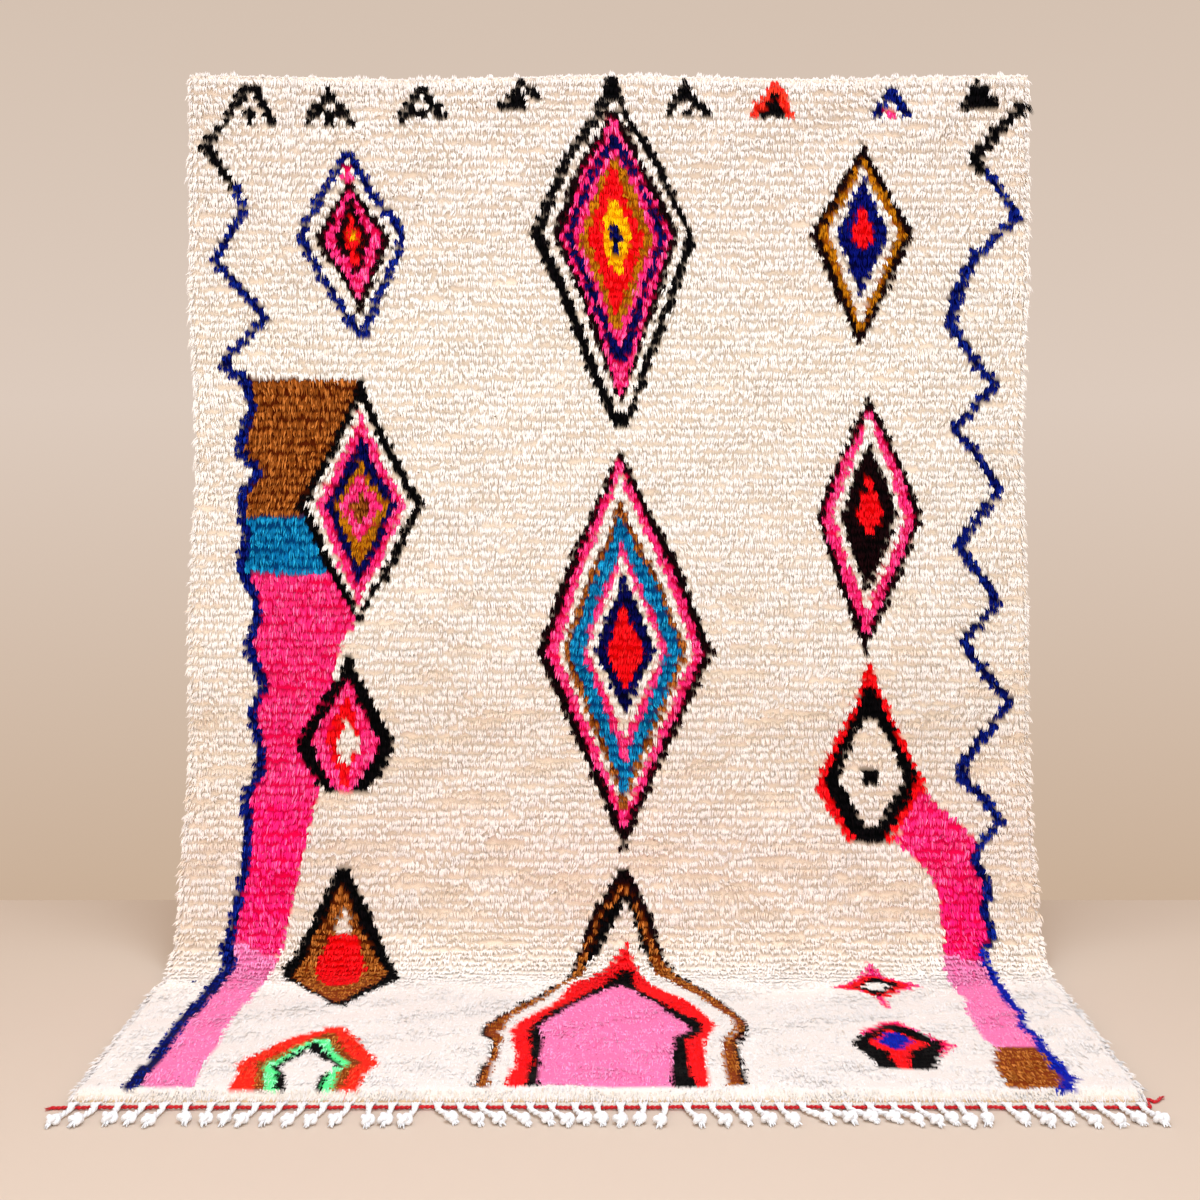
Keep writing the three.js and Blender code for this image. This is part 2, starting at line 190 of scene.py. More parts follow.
# Other areas: yarn, then rows of (down, left edge, right edge), straight between the rows
AREAS = [
    # The upper diamond of the middle
    ("black", [(-1.2, -0.1, 1.4), (7.2, -3.3, 4.5), (19, -11.6, 11.9), (35, -17.5, 19.3),
     (36, -19.3, 19.7), (38.2, -18.3, 20.9), (52.4, -11.5, 16), (66.7, -5.9, 10.6), (83.6, 1.3, 4.5)]),
    ("cream", [(4.6, 0.5, 1.7), (9.6, -2.2, 3.8), (19, -9, 9.8), (36.7, -15.5, 18.6), (52.4, -8.7, 13.8),
     (66.7, -3.3, 8.3), (79.4, 2.1, 4.3)]),
    ("maroon", [(6.4, -0.2, 1.6), (12, -2.1, 4.2), (19, -7, 7.8), (36.5, -13.5, 16.7), (52.4, -6.7, 12.3),
     (66.7, -1.3, 6.7), (76.4, 2.3, 3.8)]),
    ("hot_pink", [(9, 0.3, 1.5), (13.4, -1.1, 3), (21.4, -5.7, 7.1), (37.5, -11.3, 15), (57, -3.2, 9.1),
     (74.2, 2.2, 3.6)]),
    ("navy", [(12.9, 0.5, 1.7), (21.4, -4.3, 6.3), (37, -10.4, 14), (52.4, -4.1, 8.7), (61.9, -0.6, 6.5),
     (68.1, 2, 3.2)]),
    ("hot_pink", [(17, 0.6, 1.7), (23.8, -3.7, 6.5), (37.5, -8.7, 11.9), (52.4, -2.1, 6.9),
     (63.2, 2.1, 3.1)]),
    ("ochre", [(18.6, 0.5, 1.6), (23.8, -1.9, 5.3), (38, -7.1, 10.5), (50.5, -1.8, 6), (59.5, 1.4, 2.8)]),
    ("red", [(21.7, -0.1, 1.7), (26.2, -1.4, 3.2), (38, -5.2, 8.5), (47.6, -1.2, 5.3), (54.8, 1, 2.4)]),
    ("yellow", [(28, 0.3, 2.2), (37.1, -1.9, 5.5), (47, 1.5, 2.9)]),
    ("navy", [(34.2, 0.5, 2.1), (37.4, 0, 2.9), (41.6, 1.2, 2.4)]),
    # The teardrops
    ("black", [(137.5, -63, -61), (141.5, -63.9, -60.1), (148.5, -68.8, -56), (158.5, -74.5, -51),
     (162, -73.1, -52), (169.5, -67.5, -57)]),
    ("hot_pink", [(143, -62.5, -62), (158, -71, -55), (165, -68, -58), (170, -64.5, -61)]),
    ("red", [(147, -63, -62), (157, -67.5, -59.5), (168, -63.3, -62.3)]),
    ("cream", [(153.5, -62.8, -61.8), (158.5, -65, -59.5), (163.5, -62.5, -62.1)]),
    ("red", [(140, 61.3, 62.8), (146, 59.5, 65.3), (168.5, 48.9, 75.5), (181.5, 56.3, 66.8)]),
    ("black", [(144, 61.8, 62.6), (166, 51.8, 73.6), (170, 51.8, 72.3), (181.5, 58.3, 65.3)]),
    ("cream", [(152, 61.9, 63.1), (156.5, 58.6, 66.3), (166.5, 55, 70.2), (178.6, 60.9, 63.1)]),
    ("black", [(164, 60.3, 63.9), (168, 60.3, 64.1)]),
    # The brown kite
    ("black", [(187.5, -63.6, -61), (198, -68.3, -55), (215, -74.3, -48), (219.5, -72, -46.6),
     (238, -59.8, -56.5)]),
    ("brown", [(191, -62.6, -62), (204, -68, -55.6), (211, -69.9, -52.3)]),
    ("tan", [(211, -69.9, -52.3), (218, -71.6, -49.4), (236, -59.6, -57.8)]),
    ("cream", [(197.5, -61.4, -60.2), (200, -62.9, -60), (203, -63.2, -59.2)]),
    ("red", [(203.3, -64.2, -58.3), (213, -67, -55), (223, -64, -56.2), (225.5, -61, -59)]),
    # The arch at the front, left
    ("orange_red", [(251.8, -57, -55.5), (257, -63, -52.5), (269, -70, -46.5), (274, -72.4, -44.8),
     (281, -71, -46.7), (287, -71, -47)]),
    ("tan", [(256, -57.5, -56), (264, -62, -53), (273.5, -69, -48.5), (279, -67.5, -49.5),
     (287, -67, -50)]),
    ("green", [(260, -58.5, -57), (265, -62, -54.8), (274, -67, -50.6), (281, -65.4, -52),
     (287, -64.4, -52)]),
    ("black", [(262.7, -59, -58), (271, -63.6, -53.8), (275, -65.8, -52), (279, -63.8, -54),
     (287, -62.4, -53.6)]),
    ("cream", [(267, -60, -59), (275.5, -64, -52.6), (279.5, -62, -54.8), (287, -60.4, -55.2)]),
    # The stepped arch at the front, middle
    ("maroon", [(187.5, 3, 4.4), (198, -4.2, 10), (210, -7.6, 12.8), (224, -10.4, 19), (238, -19.5, 25.6),
     (250, -25.6, 29), (256, -26.4, 28.6), (261, -23.5, 26.4), (270, -23.8, 26.2), (286.5, -26, 26.6)]),
    ("brown", [(191, 3.2, 4.4), (199, -3.2, 8.8), (210, -6.6, 11.8)]),
    ("tan", [(210, -6.8, 12), (224, -9.8, 18.2), (238, -18.5, 25), (250, -24.8, 28.2), (256, -25.3, 27.6),
     (261, -22.8, 25.4), (270, -23.2, 25.2), (286.5, -25.2, 25)]),
    ("black", [(193, 3.2, 4.6), (200, -1.8, 7.4), (206, -4, 8.8), (212.5, -6, 10.4)]),
    ("cream", [(196, 3.6, 5), (204, -0.2, 7), (211, -3.6, 9), (219, -6.8, 12), (229, -11.4, 17.8),
     (238, -16.4, 22.2), (247, -20.6, 25.6), (255, -22.4, 26), (259, -21.4, 23.4), (270, -22, 22.4),
     (286.5, -22.8, 22.2)]),
    ("bright_red", [(206, 3.7, 4.5), (214.5, -0.4, 6.6), (223, -7.4, 9.2), (239, -12.8, 18.4),
     (252, -20, 22.6), (258.5, -19.6, 20), (270, -18, 18.6), (286.5, -19.8, 18.9)]),
    ("black", [(216, 2.4, 5.4), (226, -2.6, 6), (238, -10, 11.6), (250, -15.6, 19.8), (256, -16.4, 19),
     (261, -15.6, 15.6), (272, -15, 15.3), (286.5, -15.6, 16.8)]),
    ("light_pink", [(224, 2, 3), (236, -6.6, 9), (250, -13.6, 16.2), (254, -14.2, 16.6), (259, -13, 13.2),
     (270, -13.4, 12.5), (286.5, -13.4, 12)]),
    # The two small lozenges at the front, right
    ("hot_pink", [(212, 59.2, 60.2), (219, 56, 63), (225.8, 49.3, 69.2), (230, 55, 63.5), (233, 58, 60),
     (240.2, 58.8, 60)]),
    ("bright_red", [(216.5, 58.6, 59.8), (225.5, 51.7, 66.7), (233.3, 58, 60)]),
    ("black", [(219.8, 59, 61), (226, 54.5, 64.4), (232, 58, 59)]),
    ("cream", [(222.4, 58.2, 59.4), (226.4, 55.8, 62.2), (229.4, 58.2, 59)]),
    ("hot_pink", [(247.7, 57.6, 59.6), (255.7, 51.6, 63.6), (263.2, 49.6, 69.4), (269.7, 55.6, 65.6)]),
    ("black", [(250, 57.6, 59.2), (262.1, 48.6, 67.6), (266.7, 50.6, 66.2), (275.7, 52.2, 63.6)]),
    ("bright_red", [(255.2, 57, 58.6), (262.5, 52, 64.4), (267.7, 55.6, 59.6), (275.7, 56, 58.6)]),
    ("bright_blue", [(256.5, 56.6, 59.2), (261.2, 54.2, 61.6), (266.5, 56.6, 58)]),
    # Small fillings of the top row
    ("black", [(3.4, 38.8, 39.9), (8.4, 35.6, 42.2)]),
    ("black", [(-0.6, 87, 88.2), (4.8, 84.6, 93.2), (7.6, 83.2, 92)]),
]

# The long zigzag lines that bound the side bands: points of (across, down)
LEFT_ZIGZAG = [
    (-86.6, 71.2), (-84.8, 79), (-87.4, 84), (-88, 89), (-83.2, 93.6), (-87.4, 98.4), (-87.2, 105),
    (-86, 109), (-88.2, 116.2), (-83.9, 124.4), (-84.2, 130), (-86, 135), (-82, 144.4), (-85.5, 151),
    (-83, 158), (-83, 166), (-86, 170), (-85, 179), (-85, 187), (-86.5, 196), (-88, 206), (-86.5, 213),
    (-88, 238), (-89, 250), (-89, 274), (-90, 287),
]
RIGHT_ZIGZAG = [
    (92.4, 177), (87.6, 182.4), (85.8, 186), (87.4, 189), (89.3, 193.5), (87.2, 196), (89, 204.6),
    (86.1, 207.4), (85.8, 212), (87, 215.4), (86.2, 234), (87.1, 244), (85.6, 252), (87.3, 258),
    (86.4, 266), (87, 275), (88, 281), (85.8, 287),
]

# The two wavy side bands: points of the left edge and of the right edge, and the yarn from each
# distance down, with how far that distance changes for each centimetre outward
BANDS = [
    (LEFT_ZIGZAG,
     [(-58.7, 71.2), (-62.7, 84), (-73, 102), (-67, 117), (-60, 129), (-64, 135), (-66, 145),
      (-67.5, 151), (-69, 158), (-69, 171), (-72, 187), (-74, 198), (-75, 206), (-76, 213),
      (-78, 238), (-79, 258), (-79, 272), (-78.4, 286.5)],
     [(71.8, 0, "brown"), (104.4, 0, "teal"), (118.6, 0, "hot_pink"), (172, 0, "red_pink"),
      (200, 0, "hot_pink"), (208, -0.6, "light_pink")]),
    ([(74, 169.5), (71, 174), (69, 178), (67.4, 181.5), (71.6, 185), (75.4, 189), (76.8, 194),
      (77.6, 204), (76.5, 210), (76, 221), (77.1, 235), (75.6, 244), (75.6, 256), (77.2, 264.5),
      (74.9, 276), (75, 286)],
     [(75, 169.5), (79.5, 174), (84, 178)] + RIGHT_ZIGZAG[1:],
     [(169.5, 0, "hot_pink"), (192, 0, "red_pink"), (210, 0.3, "light_pink"), (265, 0, "tan")]),
]

# Lines a knot or two wide: yarn, width, then points of (across, down)
LINES = [
    ("blue", 2.1, [(-62.4, 17), (-66.4, 24.6), (-72.4, 35), (-73.2, 38.2), (-70.4, 43.6), (-62.4, 56.2),
     (-58.8, 61.2), (-56, 54.8), (-50.3, 42), (-49.3, 37.4), (-51, 33.4), (-55.3, 29.3), (-62, 17.4)]),
    ("hot_pink", 2.6, [(-62.4, 22.8), (-62.2, 23.4)]),
    # The small figures of the top row
    ("black", 2.2, [(-91.3, 9.4), (-88.6, 5.4), (-86.4, 2.2), (-84, 2.2), (-82.8, 5.4), (-80.4, 9.6)]),
    ("black", 3, [(-86.2, 2.4), (-84.6, 2.4)]),
    ("black", 2.6, [(-85.9, 7.4), (-85.4, 9)]),
    ("black", 2, [(-71.4, 10.2), (-69.8, 7.2), (-66.7, 2.6), (-64.4, 6), (-61.2, 10.4)]),
    ("black", 1.7, [(-70.4, 8.4), (-68.2, 7), (-64.6, 7.2), (-62.8, 8.8)]),
    ("black", 2.5, [(-66.4, 8.6), (-66.2, 9.8)]),
    ("black", 2.2, [(-49.4, 9.4), (-46.9, 5.2), (-44.9, 2), (-42.6, 5), (-39.8, 8.2)]),
    ("black", 2.4, [(-46.2, 8.4), (-43.8, 8.6)]),
    ("black", 2.1, [(-25.6, 7), (-22.6, 4.2), (-20.7, 0.4), (-18.6, 2.4), (-16.8, 4.6)]),
    ("black", 2.2, [(-22.2, 5.4), (-19.8, 5.2)]),
    ("black", 2.3, [(14.6, 7.4), (16.2, 5), (18.2, 1.4), (20, 4.6), (23.4, 7.8)]),
    ("black", 2, [(18.4, 7.8), (19.4, 7.6)]),
    ("orange_red", 2, [(34.9, 7.6), (37.5, 4.4), (39.4, 0.9), (41.4, 4.4), (42.9, 7.6)]),
    ("blue", 2.2, [(63.6, 8.7), (67.2, 1.8), (71.2, 8.7)]),
    ("hot_pink", 2.2, [(66.9, 7.8), (67.5, 8)]),
    # The zigzag down the left side
    ("black", 2.3, [(-92.6, 11.8), (-96.2, 15.8), (-89.2, 25.6)]),
    ("blue", 2.2, [(-88.6, 26.4), (-86.6, 30.2), (-94, 43.2), (-81.8, 56.8), (-92.2, 67.6), (-87.1, 71.8),
     (-85.9, 75)]),
    ("blue", 2.3, LEFT_ZIGZAG),
    ("blue", 3.2, LEFT_ZIGZAG[-6:]),
    # A strand of it that strays aside
    ("blue", 0.8, [(-86.5, 222.5), (-90, 223.5), (-93, 222)]),
    # The zigzag down the right side
    ("black", 2.9, [(99, 6), (92.3, 12.9), (86.9, 19), (89.2, 22)]),
    ("blue", 2, [(90.6, 22.6), (97.8, 33.2), (93, 36.8), (87.6, 42.6)]),
    ("blue", 3.1, [(87.2, 42.6), (83.8, 49), (81.4, 57.4)]),
    ("blue", 2.3, [(81.2, 58.2), (88.3, 68.4), (92.4, 72.6), (82.2, 83.2), (87.2, 88.8), (93, 97.6),
     (83.2, 110.6), (92.8, 124.2), (84.6, 134.2), (88.1, 139.4), (95.6, 148.4), (89.6, 156)]),
    ("blue", 2.8, [(89.6, 156), (84.2, 164), (84.4, 167)]),
    ("blue", 2.4, [(84.4, 167), (89.4, 171.6), (92.4, 177)]),
    ("blue", 2.2, RIGHT_ZIGZAG[:8]),
    ("bright_blue", 2.1, RIGHT_ZIGZAG[7:16]),
    ("bright_blue", 3, RIGHT_ZIGZAG[15:]),
]


def smooth(share):
    """The smooth step 3x^2 - 2x^3 between 0 and 1."""
    x = np.clip(share, 0.0, 1.0)
    return x * x * (3.0 - 2.0 * x)


def chance(i, salt):
    """A number between 0 and 1 that looks like chance, the same for the same two numbers."""
    spread = np.sin(i * 12.9898 + salt * 78.233) * 43758.5453
    return spread - np.floor(spread)


def way_at(v):
    """The underside's y and z and its tilt at distances v down: lines and arcs, one after another."""
    y = np.zeros_like(v)
    z = np.zeros_like(v)
    tilt = np.zeros_like(v)
    start = 0.0
    for length, turn in STRETCHES:
        last = start + length > PILE_LENGTH - 1e-6
        run = np.clip(v - start, 0.0, None if last else length)
        curve = math.radians(turn) / length
        end = tilt + curve * run
        if curve:
            y -= (np.cos(tilt) - np.cos(end)) / curve
            z -= (np.sin(end) - np.sin(tilt)) / curve
        else:
            y -= np.sin(tilt) * run
            z -= np.cos(tilt) * run
        tilt = end
        start += length
    return y, z, tilt


def fold_at(u, v):
    """How far the cloth stands off its plain way: the sum of the soft folds, which end before the floor."""
    free = 1.0 - smooth((v - LYING_FROM + 0.26) / 0.18)
    hills = sum(h * np.exp(-(((u - fu) / su) ** 2) - ((v - fv) / sv) ** 2) for fu, fv, su, sv, h in FOLDS)
    return free * hills


def lump_at(u, v):
    """The pile's lumps: two slow waves that bend each other, and a finer slanting one."""
    across = np.sin(2 * np.pi * u / 0.250 + 2.2 * np.sin(v / 0.131))
    along = np.sin(2 * np.pi * v / 0.168 + 1.7 * np.sin(u / 0.173))
    return LUMP * (0.6 * across * along + 0.4 * np.sin(u / 0.061 + v / 0.047))


def drawn(u, v):
    """How far across a place hangs: the rug is drawn in a little at its waist."""
    return u * (1 - WAIST_DRAW * np.exp(-(((v - WAIST_AT) / WAIST_SPAN) ** 2)))


def rug_points(u, v, height):
    """Points of the rug: across u, down v along the way, and a height out of its underside."""
    u, v, height = np.broadcast_arrays(u, v, height)
    y, z, tilt = way_at(np.maximum(v, 0.0))
    lift = height + fold_at(u, v)
    above = np.minimum(v, 0.0)
    return np.stack(
        [
            drawn(u, v),
            y - np.cos(tilt) * lift - np.sin(tilt) * above,
            z + np.sin(tilt) * lift - np.cos(tilt) * above,
        ],
        axis=-1,
    )


def feet_at(v):
    """How high the feet of the pile fill it, from where it hangs to where it lies."""
    return UNDER_PILE + (UNDER_PILE_LYING - UNDER_PILE) * smooth((v - LYING_FROM + 0.15) / 0.25)


def front_fall(v):
    """The share of the pile's height that is left where it slopes down to the end band: 1 to 0.2."""
    return 1.0 - 0.8 * smooth((v - PILE_LENGTH + 0.024) / 0.040)


def reach_at(v):
    """How far below its knot a tuft's colour shows."""
    down, reach = np.array(REACH_AT).T
    return np.interp(v, down, reach)


def top_edge(u):
    """How far above v = 0 the wavy top edge of the cloth lies, as a distance down (negative)."""
    return -0.0083 - TOP_WAVE * np.cos(2 * np.pi * u / TOP_WAVE_PERIOD)


floor_z = float(way_at(np.array([LYING_FROM]))[1][0])
front_y = float(way_at(np.array([PILE_LENGTH + END_BAND]))[0][0])


def between(u, v, left, right):
    """True where a place is between a left and a right edge, each straight from point to point."""
    (left_u, left_v), (right_u, right_v) = np.array(left).T, np.array(right).T
    inside = (v >= max(left_v[0], right_v[0])) & (v <= min(left_v[-1], right_v[-1]))
    return inside & (u >= np.interp(v, left_v, left_u)) & (u <= np.interp(v, right_v, right_u))


def near_line(u, v, points, width):
    """True where a place is within half the width of a line through the points."""
    near = np.zeros(u.shape, bool)
    for (u0, v0), (u1, v1) in zip(points[:-1], points[1:]):
        du = u1 - u0
        dv = v1 - v0
        share = np.clip(((u - u0) * du + (v - v0) * dv) / (du * du + dv * dv), 0.0, 1.0)
        near |= np.hypot(u - u0 - share * du, v - v0 - share * dv) <= width / 2
    return near


def yarn_at(u, v):
    """The number of the yarn at places in metres: the charts are laid over the cream, one after another."""
    u = u * 100.0
    v = v * 100.0
    yarn = np.full(u.shape, YARN_NAMES.index("cream"))
    for left, right, changes in BANDS:
        here = between(u, v, left, right)
        for start, slant, name in changes:
            yarn[here & (v >= start + slant * (np.abs(u) - 80))] = YARN_NAMES.index(name)
    for (at_top, at_level, at_bottom), level, outline, rings in DIAMONDS:
        _, _, first, last = rings[0]
        downs, shares = np.array(outline).T
        for name, half, top, bottom in rings:
            middle = np.interp(v, [first, level, last], [at_top, at_level, at_bottom])
            way = np.interp(v, [top, level, bottom], [0, 1, 2])
            reach = np.maximum(half * np.interp(way, downs, shares), 0.8)
            here = (v >= top) & (v <= bottom) & (np.abs(u - middle) <= reach)
            yarn[here] = YARN_NAMES.index(name)
    for name, rows in AREAS:
        left = [(from_u, at_v) for at_v, from_u, _ in rows]
        right = [(to_u, at_v) for at_v, _, to_u in rows]
        yarn[between(u, v, left, right)] = YARN_NAMES.index(name)
    for name, width, points in LINES:
        yarn[near_line(u, v, points, width)] = YARN_NAMES.index(name)
    return yarn


def linear(colour):
    """Screen colour, 0 to 255, as linear light, 0 to 1."""
    share = np.asarray(colour, float) / 255.0
    return np.where(share <= 0.04045, share / 12.92, ((share + 0.055) / 1.055) ** 2.4)


# Painted shade and highlight on the tufts. How light a pale tuft is at its root, at the three
# points round its middle and at its tip, in red, green and blue: darker and warmer at the root
# and underside, where the rows shade each other. Bright and dark tufts are shaded by the second
# table, which also paints a highlight on the tip, and the third has the power of their own colour
# that deepens their painted shade
PALE_PAINTED_SHADE = np.array(
    [[0.94, 0.80, 0.64], [1, 0.985, 0.965], [1, 0.985, 0.965], [0.98, 0.94, 0.89], [0.96, 0.945, 0.93]]
)
BOLD_PAINTED_SHADE = np.array([0.75, 1.02, 1.02, 0.90, 1.25])[:, None]
BOLD_PAINTED_DEEPENING = np.array([0.6, 0.1, 0.1, 0.45, 0.0])[:, None]
# Painted shadow on a tuft's middle where the row above it parts, in red, green and blue
PARTING_PAINTED_SHADOW = np.array([0.08, 0.16, 0.26])
# Painted shade on the cream ground between hanging tufts, and on the front lip's tufts and the end
# band; the colour of the painted shadow line in the crease between the pile and the end band
GROUND_PAINTED_SHADE = np.array([0.99, 0.87, 0.73])
END_PAINTED_SHADE = np.array([0.83, 0.78, 0.73])
END_CREASE = (206, 168, 122)
# The least channel, as linear light, of a colour that counts as cream
PALE_FROM = 0.45
# Painted light and shade on the cream: distance down, and how much red, green and blue the cream
# has there. It is darker at the top, darker and warmer low down, lighter at the bend and less warm
# where it lies
CREAM_PAINTED_LIGHT = [
    (0.0, 0.91, 0.88, 0.88), (0.35, 0.96, 0.94, 0.94), (0.6, 1.0, 1.0, 1.0), (1.3, 1.02, 1.02, 1.03),
    (1.58, 0.97, 0.94, 0.92), (1.8, 0.92, 0.85, 0.83), (2.02, 0.94, 0.88, 0.85), (2.1, 1.01, 0.96, 0.93),
    (2.18, 1.07, 1.05, 1.04), (2.26, 0.94, 0.925, 0.93), (2.34, 0.85, 0.84, 0.855), (2.9, 0.84, 0.83, 0.85),
]
# How far a tuft's normals turn from the rug's own to its sides, so that it looks round
TUFT_ROUND = 0.46
YARN_MAIN = linear([YARNS[name][0] for name in YARN_NAMES])
YARN_SPUN = linear([YARNS[name][1] for name in YARN_NAMES])
YARN_SHARE = np.array([YARNS[name][2] for name in YARN_NAMES])


def patch(index, layout):
    """The triangles of a grid of point numbers, with the place on the flat layout of each corner."""
    corners = []
    for grid in (index, layout):
        a, b, c, d = grid[:-1, :-1], grid[:-1, 1:], grid[1:, 1:], grid[1:, :-1]
        both = np.stack([np.stack([a, b, c], axis=2), np.stack([a, c, d], axis=2)], axis=2)
        corners.append(both.reshape((-1, 3) + grid.shape[2:]))
    return corners


def flat_layout(rows, columns, low, high):
    """A grid of places from the corner low to the corner high of the flat layout."""
    x, y = np.meshgrid(np.linspace(low[0], high[0], columns), np.linspace(low[1], high[1], rows))
    return np.stack([x, y], axis=-1)


def make_piece(name, points, faces, layout, slot, colours=None, normals=None):
    """A mesh object from arrays of points, triangles and the layout of their corners."""
    mesh = bpy.data.meshes.new(name)
    mesh.vertices.add(len(points))
    mesh.vertices.foreach_set("co", np.ascontiguousarray(points, np.float32).ravel())
    mesh.loops.add(faces.size)
    mesh.loops.foreach_set("vertex_index", np.ascontiguousarray(faces, np.int32).ravel())
    mesh.polygons.add(len(faces))
    mesh.polygons.foreach_set("loop_start", np.arange(0, faces.size, 3, dtype=np.int32))
    mesh.update(calc_edges=True)
    bake = mesh.uv_layers.new(name="OFBake")
    bake.data.foreach_set("uv", np.ascontiguousarray(layout, np.float32).ravel())
    if colours is not None:
        wool = mesh.color_attributes.new("wool_colour", "FLOAT_COLOR", "POINT")
        full = np.concatenate([colours, np.ones((len(colours), 1))], axis=1)
        wool.data.foreach_set("color", full.astype(np.float32).ravel())
    mesh.shade_smooth()
    if normals is not None:
        mesh.normals_split_custom_set_from_vertices(normals.astype(np.float32))
    piece = bpy.data.objects.new(name, mesh)
    bpy.context.scene.collection.objects.link(piece)
    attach(piece, "root")
    return piece


def outward(points, faces):
    """The triangles turned so that the first closed shape of them encloses a positive volume."""
    a, b, c = (points[faces[:, k]] for k in range(3))
    volume = np.einsum("ij,ij->i", a, np.cross(b, c)).sum()
    return faces if volume > 0 else faces[:, ::-1]


def spindles(root, middle, tip, aside, lift):
    """Closed tufts, each a point at its root, three points round its middle and a point at its tip.

    The three points stand around the middle at thirds of a turn: cosine times aside plus sine
    times lift. Arrays hold one row for each tuft.
    """
    count = len(root)
    turn = 2 * np.pi * np.arange(3) / 3
    ring = middle[:, None] + np.cos(turn)[:, None] * aside[:, None] + np.sin(turn)[:, None] * lift[:, None]
    points = np.concatenate([root[:, None], ring, tip[:, None]], axis=1)
    one = np.array([[0, 2, 1], [0, 3, 2], [0, 1, 3], [1, 2, 4], [2, 3, 4], [3, 1, 4]])
    one = outward(points[0], one)
    faces = (one[None] + 5 * np.arange(count)[:, None, None]).reshape(-1, 3)
    side = int(math.ceil(math.sqrt(count)))
    cell = np.stack([np.arange(count) % side, np.arange(count) // side], axis=1)
    strip = {0: (0.5, 0.02), 4: (0.5, 0.98)}
    flat = np.zeros((6, 3, 2))
    for f, face in enumerate(one):
        sides = sorted(k for k in face if k in (1, 2, 3))
        number = {(1, 2): 0, (2, 3): 1, (1, 3): 2}[tuple(sides)]
        for c, k in enumerate(face):
            x, y = strip.get(int(k), (0.04 if k == sides[0] else 0.96, 0.5))
            flat[f, c] = ((number + x) / 3, y)
    layout = (cell[:, None, None] + 0.03 + 0.94 * flat[None]) / side
    return points, faces, layout.reshape(-1, 3, 2)


def combed_normals(points, out, roundness):
    """The normals of tufts that lie close together: mostly out of the rug, and partly out of each tuft."""
    ring = points[:, 1:4]
    aside = ring - ring.mean(axis=1, keepdims=True)
    aside /= np.linalg.norm(aside, axis=-1, keepdims=True)
    normals = np.repeat(out[:, None], 5, axis=1)
    normals[:, 1:4] += roundness[:, None] * aside
    normals /= np.linalg.norm(normals, axis=-1, keepdims=True)
    return normals.reshape(-1, 3)


def painted_light_down_rug(colours, u, v):
    """Painted light and shade on the cream down the rug: darker and warmer low down, whiter where it lies.
    """
    down, *channels = np.array(CREAM_PAINTED_LIGHT).T
    v = v + 0.03 * np.sin(u / 0.13 + 2.0 * np.sin(u / 0.31))
    change = np.stack([np.interp(v, down, channel) for channel in channels], axis=-1)
    pale = colours.min(axis=-1, keepdims=True) > PALE_FROM
    return colours * np.where(pale, change, 1.0)


def tuft_colours(yarn, rng, per_knot):
    """Each tuft's colour: its yarn's, or the other yarn spun into it, a little lighter or darker."""
    count = len(yarn)
    spun = rng.random(count) < YARN_SHARE[yarn]
    mix = np.where(spun, rng.uniform(0.55, 1.0, count), rng.uniform(0.0, 0.22, count))[:, None]
    tone = 1.0 + np.where(yarn > 0, 0.10, 0.035) * rng.standard_normal(count) + per_knot
    return (YARN_MAIN[yarn] * (1 - mix) + YARN_SPUN[yarn] * mix) * tone[:, None]


def tousle_at(u, v):
    """Slow waves that the pile is brushed in, from -1 to 1."""
    return (
        0.5 * np.sin(u / 0.083 + 1.9 * np.sin(v / 0.117))
        + 0.3 * np.sin(v / 0.061 + 1.3 * np.sin(u / 0.149) + 0.7)
        + 0.2 * np.sin(u / 0.029 - v / 0.037)
    )


def parting_at(u, v, row):
    """How far the pile parts below a row, 0 to 1: stretches of some rows, mostly low where it hangs."""
    wave = np.sin(u / 0.055 + 2.4 * row + 2.0 * np.sin(1.7 * row)) + 0.5 * np.sin(u / 0.021 + 1.1 * row)
    low = smooth((v - 1.05) / 0.35) * (1.0 - smooth((v - LYING_FROM + 0.18) / 0.12))
    some = 0.15 + 0.85 * (chance(row, 51.0) > 0.55)
    return smooth((wave - 0.5 + 0.35 * low) / 0.5) * some * (0.35 + 0.65 * low) * (v < LYING_FROM - 0.05)


